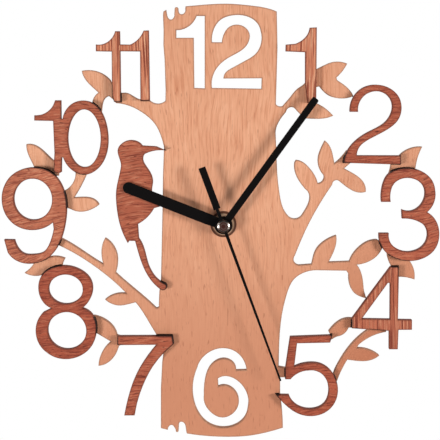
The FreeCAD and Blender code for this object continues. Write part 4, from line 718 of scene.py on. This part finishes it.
def wound_wire_tree(name):
    """Geometry nodes for wire wound along X round a solid core, with a plate at its start."""
    group = bpy.data.node_groups.new(name, "GeometryNodeTree")
    inputs = {"Turns": "Float", "Start Radius": "Float", "End Radius": "Float", "Length": "Float",
              "Wire Radius": "Float", "Core Radius": "Float", "Start": "Vector",
              "Plate Size": "Vector", "Material": "Material"}
    for socket, kind in inputs.items():
        group.interface.new_socket(socket, in_out="INPUT", socket_type="NodeSocket" + kind)
    group.interface.new_socket("Geometry", in_out="OUTPUT", socket_type="NodeSocketGeometry")
    tree = Tree(group)
    given = tree.add("NodeGroupInput").outputs
    spiral = tree.add("GeometryNodeCurveSpiral", {
        "Resolution": 32, "Rotations": given["Turns"], "Start Radius": given["Start Radius"],
        "End Radius": given["End Radius"], "Height": given["Length"]})
    section = tree.add("GeometryNodeCurvePrimitiveCircle", {"Resolution": 8, "Radius": given["Wire Radius"]})
    wire = tree.add("GeometryNodeCurveToMesh", {
        "Curve": spiral.outputs[0], "Profile Curve": section.outputs[0], "Fill Caps": True})
    core = tree.add("GeometryNodeMeshCylinder", {"Vertices": 48, "Radius": given["Core Radius"],
                                                 "Depth": given["Length"]})
    raised = tree.add("ShaderNodeCombineXYZ", {"Z": tree.maths("MULTIPLY", given["Length"], 0.5)})
    core_place = tree.add("GeometryNodeTransform", {"Geometry": core.outputs["Mesh"],
                                                    "Translation": raised.outputs[0]})
    both = tree.add("GeometryNodeJoinGeometry")
    tree.feed(both.inputs[0], wire.outputs[0])
    tree.feed(both.inputs[0], core_place.outputs[0])
    turned = tree.add("GeometryNodeTransform", {"Geometry": both.outputs[0],
                                                "Rotation": (0, math.pi / 2, 0)})
    plate = tree.add("GeometryNodeMeshCube", {"Size": given["Plate Size"]})
    whole = tree.add("GeometryNodeJoinGeometry")
    tree.feed(whole.inputs[0], turned.outputs[0])
    tree.feed(whole.inputs[0], plate.outputs["Mesh"])
    moved = tree.add("GeometryNodeTransform", {"Geometry": whole.outputs[0],
                                               "Translation": given["Start"]})
    real = tree.add("GeometryNodeRealizeInstances", {"Geometry": moved.outputs[0]})
    faced = tree.add("GeometryNodeSetMaterial", {"Geometry": real.outputs[0],
                                                 "Material": given["Material"]})
    result = tree.add("NodeGroupOutput")
    tree.feed(result.inputs[0], faced.outputs[0])
    return group


def grown_mesh(name, group, values):
    """The plain mesh that a geometry node tree makes from named values."""
    seed = bpy.data.objects.new(name, bpy.data.meshes.new(name + "_seed"))
    bpy.context.collection.objects.link(seed)
    modifier = seed.modifiers.new("grown", "NODES")
    modifier.node_group = group
    names = {item.name: item.identifier for item in group.interface.items_tree if item.in_out == "INPUT"}
    for socket, value in values.items():
        modifier[names[socket]] = value
    evaluated = seed.evaluated_get(bpy.context.evaluated_depsgraph_get())
    mesh = bpy.data.meshes.new_from_object(evaluated)
    bpy.data.objects.remove(seed)
    shape = bmesh.new()
    shape.from_mesh(mesh)
    bmesh.ops.recalc_face_normals(shape, faces=shape.faces)
    shape.to_mesh(mesh)
    shape.free()
    mesh.name = name
    return mesh


# One operator for each group of pieces.

class CLOCK_OT_pale_boards(bpy.types.Operator):
    """Make the tree and the pale links between the numerals"""
    bl_idname = "clock.pale_boards"
    bl_label = "Tree and twigs"

    def execute(self, context):
        wood = context.scene.clock_wood
        colours = (wood.pale, wood.pale_light, wood.pale_streak, wood.pale_pore, wood.pale_wall,
                   wood.pale_core, wood.soot, wood.pale_shade_tint)
        material = veneer_material("Pale veneer", colours, amounts=(0.5, 0.8, 0.4), level=False,
                                   softness=0.12, stretch=(1, 1, 1), calm=1.2)
        for node in PALE_BOARDS:
            board(node, material, "pale_wood")
        return {"FINISHED"}


class CLOCK_OT_dark_boards(bpy.types.Operator):
    """Make the numerals and the woodpecker"""
    bl_idname = "clock.dark_boards"
    bl_label = "Numerals and bird"

    def execute(self, context):
        wood = context.scene.clock_wood
        colours = (wood.dark, wood.dark_light, wood.dark_streak, wood.dark_pore, wood.dark_wall,
                   wood.dark_core, wood.soot, wood.dark_stain)
        level = veneer_material("Dark veneer, level grain", colours, amounts=(0.68, 0.88, 1.0),
                                level=True, softness=0.075, stretch=(1.6, 1, 1.25))
        upright = veneer_material("Dark veneer, upright grain", colours, amounts=(1.15, 1.12, 0.4),
                                  level=False, softness=0.03, stretch=(1.4, 1, 0.4))
        carriers = pale_tops()
        for node in LEVEL_BOARDS:
            board(node, level, "dark_wood", carriers)
        for node in UPRIGHT_BOARDS:
            board(node, upright, "dark_wood", None if node in UNSHADED_JOINTS else carriers)
        return {"FINISHED"}


class CLOCK_OT_hands(bpy.types.Operator):
    """Finish the three hands, the boss, the washers and the nut"""
    bl_idname = "clock.hands"
    bl_label = "Hands"

    def execute(self, context):
        hands = context.scene.clock_hands
        paint = grained_material("Hand paint", hands.paint, 0.5, grain=3000.0, shade=0.15,
                                 depth=0.00001, gloss=0.08)
        for node in ("hour_hand", "minute_hand", "second_hand"):
            softened(node, paint, hands.edge)
        softened("hand_boss", self.boss_material(hands), hands.edge, smooth=True)
        softened("brass_washer", self.washer_material(hands), hands.edge, smooth=True)
        softened("hex_nut", metal_material("Nut steel", linear(150, 140, 125), 0.32),
                 1.5 * hands.edge)
        softened("rubber_washer", grained_material("Washer rubber", linear(30, 30, 30), 0.8),
                 hands.edge)
        return {"FINISHED"}

    def boss_material(self, hands):
        """Polished metal whose middle is painted brown, not metal, as a dark reflection of the room, with a
        lighter ring in it.
        """
        material, tree, surface, place = new_material("Polished boss")
        radius = axis_distance(tree, place)
        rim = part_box("hand_boss")[1].x
        fine = tree.noise(tree.stretched(place, (2500, 2500, 2500)), 3.0)
        # Painted reflection: the middle is brown and not metal, so the lamps' glints stay thin crescents at
        # the edge.
        crown = tree.maths("SUBTRACT", 1.0, tree.band(radius, rim * 0.66, rim * 0.8))
        ring = tree.maths("SUBTRACT", tree.band(radius, rim * 0.28, rim * 0.4),
                          tree.band(radius, rim * 0.44, rim * 0.56))
        darkening = tree.maths("SUBTRACT", crown, tree.maths("MULTIPLY", ring, 0.12))
        shade = tree.maths("MULTIPLY_ADD", tree.maths("SUBTRACT", fine, 0.5), 0.1, darkening)
        tree.feed(surface.inputs["Base Color"], tree.blend(shade, (*hands.boss, 1), (*hands.crown, 1)))
        tree.feed(surface.inputs["Metallic"], tree.maths("SUBTRACT", 1.0, crown))
        surface.inputs["Roughness"].default_value = 0.1
        bumped(tree, surface, fine, 0.000005)
        return material

    def washer_material(self, hands):
        """Turned brass, its rim browned and its face marked in rings."""
        material, tree, surface, place = new_material("Washer brass")
        radius = axis_distance(tree, place)
        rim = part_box("brass_washer")[1].x
        turned = tree.add("ShaderNodeCombineXYZ", {"X": tree.maths("MULTIPLY", radius, 2600)}).outputs[0]
        rings = tree.noise(turned, 2.0)
        patches = tree.noise(tree.stretched(place, (420, 420, 420)), 3.0)
        darkening = tree.maths("MAXIMUM", tree.band(radius, rim * 0.76, rim * 0.86),
                             tree.maths("MULTIPLY", tree.band(patches, 0.42, 0.7), 0.5))
        shade = tree.maths("MULTIPLY_ADD", tree.maths("SUBTRACT", rings, 0.5), 0.5, darkening)
        tree.feed(surface.inputs["Base Color"], tree.blend(shade, (*hands.brass, 1), (*hands.tarnish, 1)))
        tree.feed(surface.inputs["Roughness"], tree.maths("MULTIPLY_ADD", darkening, 0.2, 0.42))
        surface.inputs["Metallic"].default_value = 0.15
        bumped(tree, surface, rings, 0.00001)
        return material


class CLOCK_OT_movement(bpy.types.Operator):
    """Finish the movement: case, cover, train, motor and cell"""
    bl_idname = "clock.movement"
    bl_label = "Movement"

    def execute(self, context):
        movement = context.scene.clock_movement
        case = grained_material("Black plastic", movement.case, 0.5, grain=2600.0, shade=0.3,
                                depth=0.00004)
        natural = grained_material("Wheel plastic", movement.natural, 0.45)
        steel = metal_material("Plated steel", movement.steel, 0.3)
        softened("movement_case", case, movement.moulded_edge, segments=3)
        softened("back_cover", case, movement.moulded_edge, segments=3)
        knob = grained_material("Knob plastic", linear(214, 212, 204), 0.4)
        softened("setting_knob", knob, movement.moulded_edge / 2)
        self.cell(movement, steel)
        self.winding(movement)
        self.spring(movement, steel)
        jobs = {
            natural: ["bearing_plate", "coil_bobbin", "intermediate_wheel", "second_wheel", "third_wheel",
                      "centre_wheel", "motion_wheel", "hour_wheel"],
            steel: ["quartz_crystal", "positive_contact", "cover_screws"],
            metal_material("Soft iron", linear(150, 150, 152), 0.42, shade=0.3): ["stator", "rotor"],
            grained_material("Circuit board", movement.board, 0.4): ["circuit_board"],
            grained_material("Resin drop", linear(20, 20, 20), 0.2): ["driver_chip"],
        }
        for material, nodes in jobs.items():
            for node in nodes:
                finish_node(node, material)
        return {"FINISHED"}

    def cell(self, movement, steel):
        """The cell: a crimped steel can in a plain jacket, a recessed base and a positive nub."""
        low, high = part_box("battery")
        centre = ((low.y + high.y) / 2, (low.z + high.z) / 2)
        radius = (high.z - low.z) / 2
        shoulder = high.x - 1.2 * MM
        nub = 2.6 * MM
        rings = [
            (low.x, 0, 1), (low.x, 0.66 * radius, 1), (low.x + 0.3 * MM, 0.7 * radius, 1),
            (low.x + 0.3 * MM, 0.82 * radius, 1), (low.x + 0.1 * MM, 0.86 * radius, 1),
            (low.x + 0.1 * MM, 0.91 * radius, 1), (low.x + 0.35 * MM, 0.95 * radius, 0),
            (low.x + 0.45 * MM, 0.985 * radius, 0), (low.x + 0.9 * MM, radius, 0),
            (shoulder - 0.9 * MM, radius, 0), (shoulder - 0.3 * MM, 0.97 * radius, 0),
            (shoulder, 0.9 * radius, 0), (shoulder, 0.8 * radius, 0),
            (shoulder - 0.25 * MM, 0.78 * radius, 1), (shoulder - 0.25 * MM, 1.15 * nub, 1),
            (shoulder, 1.05 * nub, 1), (shoulder + 0.2 * MM, nub, 1),
            (high.x - 0.35 * MM, nub, 1), (high.x - 0.1 * MM, 0.93 * nub, 1), (high.x, 0.8 * nub, 1),
            (high.x, 0, 1)]
        jacket = grained_material("Cell jacket", movement.jacket, 0.25)
        mesh = turned_mesh("battery_cell", rings, centre, [jacket, steel])
        placed("battery_finish", mesh, "battery")

    def winding(self, movement):
        """The coil's outer layer, turn by turn over a solid core."""
        low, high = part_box("coil_winding")
        outer = (high.z - low.z) / 2
        wire = movement.wire / 2
        copper = grained_material("Winding wire", movement.copper, 0.3)
        mesh = grown_mesh("coil_turns", built_once("Wound wire", wound_wire_tree), {
            "Turns": math.floor((high.x - low.x) / movement.wire) - 1,
            "Start Radius": outer - wire, "End Radius": outer - wire,
            "Length": high.x - low.x - movement.wire, "Wire Radius": wire,
            "Core Radius": outer - movement.wire,
            "Start": (low.x + wire, (low.y + high.y) / 2, (low.z + high.z) / 2),
            "Plate Size": (wire, wire, wire), "Material": copper})
        placed("winding_turns", mesh, "coil_winding")

    def spring(self, movement, steel):
        """The negative contact: a plate with a conical coil spring."""
        low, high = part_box("negative_contact")
        thick = 0.4 * MM
        foot, tip = 3.0 * MM, 1.5 * MM
        wire = movement.spring_wire / 2
        mesh = grown_mesh("contact_spring", built_once("Wound wire", wound_wire_tree), {
            "Turns": 3.0, "Start Radius": foot - wire, "End Radius": tip,
            "Length": high.x - low.x - thick / 2 - wire, "Wire Radius": wire, "Core Radius": wire,
            "Start": (low.x + thick / 2, (low.y + high.y) / 2, (low.z + high.z) / 2),
            "Plate Size": (thick, high.y - low.y, high.z - low.z), "Material": steel})
        placed("spring_contact", mesh, "negative_contact")


class CLOCK_OT_stage(bpy.types.Operator):
    """Set the camera, the lamps, the daylight and the floor"""
    bl_idname = "clock.stage"
    bl_label = "Stage"

    def execute(self, context):
        scene = context.scene
        scene.view_settings.view_transform = "Standard"
        for lay_out in (self.camera, self.lamps, self.daylight, self.floor):
            lay_out(scene, scene.clock_stage)
        return {"FINISHED"}

    def camera(self, scene, stage):
        """The eye of the photograph, which looks down a little at the middle of the clock."""
        back = Vector((0, -math.cos(stage.view_height), math.sin(stage.view_height)))
        camera = bpy.data.objects.new("camera", bpy.data.cameras.new("camera"))
        scene.collection.objects.link(camera)
        camera.data.sensor_width = SENSOR_WIDTH
        camera.data.lens = SENSOR_WIDTH * stage.focal_ratio
        camera.data.clip_start = 0.01
        camera.location = Vector(VIEW_TARGET) + back * stage.view_distance
        camera.rotation_mode = "QUATERNION"
        camera.rotation_quaternion = (-back).to_track_quat("-Z", "Y")
        scene.camera = camera

    def lamps(self, scene, stage):
        """Three round lamps that face the hand axis."""
        for name, where in (("left_lamp", stage.left_lamp), ("right_lamp", stage.right_lamp),
                            ("back_lamp", stage.back_lamp)):
            lamp = bpy.data.lights.new(name, "AREA")
            lamp.energy = stage.lamp_power
            lamp.shape = "DISK"
            lamp.size = stage.lamp_width
            holder = bpy.data.objects.new(name, lamp)
            scene.collection.objects.link(holder)
            holder.location = where
            holder.rotation_mode = "QUATERNION"
            holder.rotation_quaternion = (-holder.location).to_track_quat("-Z", "Y")

    def daylight(self, scene, stage):
        """Even light, white behind the clock, and a dim room for the metal in front, above and below."""
        world = bpy.data.worlds.new("daylight")
        scene.world = world
        world.use_nodes = True
        tree = Tree(world.node_tree)
        path = tree.add("ShaderNodeLightPath").outputs
        seen = tree.maths("MAXIMUM", path["Is Camera Ray"],
                          tree.maths("MAXIMUM", path["Is Glossy Ray"], path["Is Transmission Ray"]))
        strength = tree.maths("MULTIPLY_ADD", seen, 1 - stage.daylight, stage.daylight)
        tilt = 0.14
        way = tree.add("ShaderNodeTexCoord").outputs["Generated"]
        toward_front = tree.add("ShaderNodeVectorMath", settings={"operation": "DOT_PRODUCT"})
        tree.feed(toward_front.inputs[0], way)
        tree.feed(toward_front.inputs[1], (0, -0.99, -tilt))
        high = tree.add("ShaderNodeSeparateXYZ", {"Vector": way}).outputs["Z"]
        rise = tree.maths("ABSOLUTE", tree.maths("ADD", high, tilt))
        dim = tree.maths("MAXIMUM", tree.band(toward_front.outputs["Value"], 0.68, 0.84),
                         tree.band(rise, 0.42, 0.62))
        strength = tree.maths("MULTIPLY", strength, tree.maths(
            "MULTIPLY_ADD", tree.maths("MULTIPLY", path["Is Glossy Ray"], dim), -0.96, 1))
        light = tree.add("ShaderNodeBackground", {"Color": (1, 1, 1, 1), "Strength": strength})
        tree.add("ShaderNodeOutputWorld", {"Surface": light.outputs[0]})

    def floor(self, scene, stage):
        """A round pale floor under the clock, dark where polished metal mirrors it."""
        shape = bmesh.new()
        bmesh.ops.create_circle(shape, cap_ends=True, segments=96, radius=FLOOR_RADIUS)
        material, tree, surface, place = new_material("Pale floor")
        paper = tree.noise(tree.stretched(place, (900, 900, 900)), 3.0)
        pale = tree.blend(paper, (0.9, 0.9, 0.9, 1), (0.87, 0.87, 0.87, 1))
        in_gloss = tree.add("ShaderNodeLightPath").outputs["Is Glossy Ray"]
        tree.feed(surface.inputs["Base Color"], tree.blend(in_gloss, pale, (0.05, 0.04, 0.035, 1)))
        surface.inputs["Roughness"].default_value = 0.8
        mesh = plain_mesh("floor", shape, material)
        mesh.transform(Matrix.Translation((0, 0, -stage.floor_drop)))
        floor = bpy.data.objects.new("floor", mesh)
        scene.collection.objects.link(floor)


class CLOCK_PT_panel(bpy.types.Panel):
    """Lists the clock's build steps in the sidebar"""
    bl_idname = "CLOCK_PT_panel"
    bl_label = "Tree Wall Clock"
    bl_space_type = "VIEW_3D"
    bl_region_type = "UI"
    bl_category = "Clock"

    def draw(self, context):
        for step in STEPS:
            self.layout.operator(step.bl_idname)


SETTINGS = {"clock_wood": ClockWoodSettings, "clock_hands": ClockHandSettings,
            "clock_movement": ClockMovementSettings, "clock_stage": ClockStageSettings}
STEPS = (CLOCK_OT_stage, CLOCK_OT_pale_boards, CLOCK_OT_dark_boards, CLOCK_OT_hands, CLOCK_OT_movement)


def register():
    for kind in (*SETTINGS.values(), *STEPS, CLOCK_PT_panel):
        bpy.utils.register_class(kind)
    for name, kind in SETTINGS.items():
        setattr(bpy.types.Scene, name, bpy.props.PointerProperty(type=kind))


def unregister():
    for name in SETTINGS:
        delattr(bpy.types.Scene, name)
    for kind in reversed((*SETTINGS.values(), *STEPS, CLOCK_PT_panel)):
        bpy.utils.unregister_class(kind)


def main():
    register()
    bpy.ops.clock.stage()
    bpy.ops.clock.pale_boards()
    bpy.ops.clock.dark_boards()
    bpy.ops.clock.hands()
    bpy.ops.clock.movement()


if __name__ == "__main__":
    main()
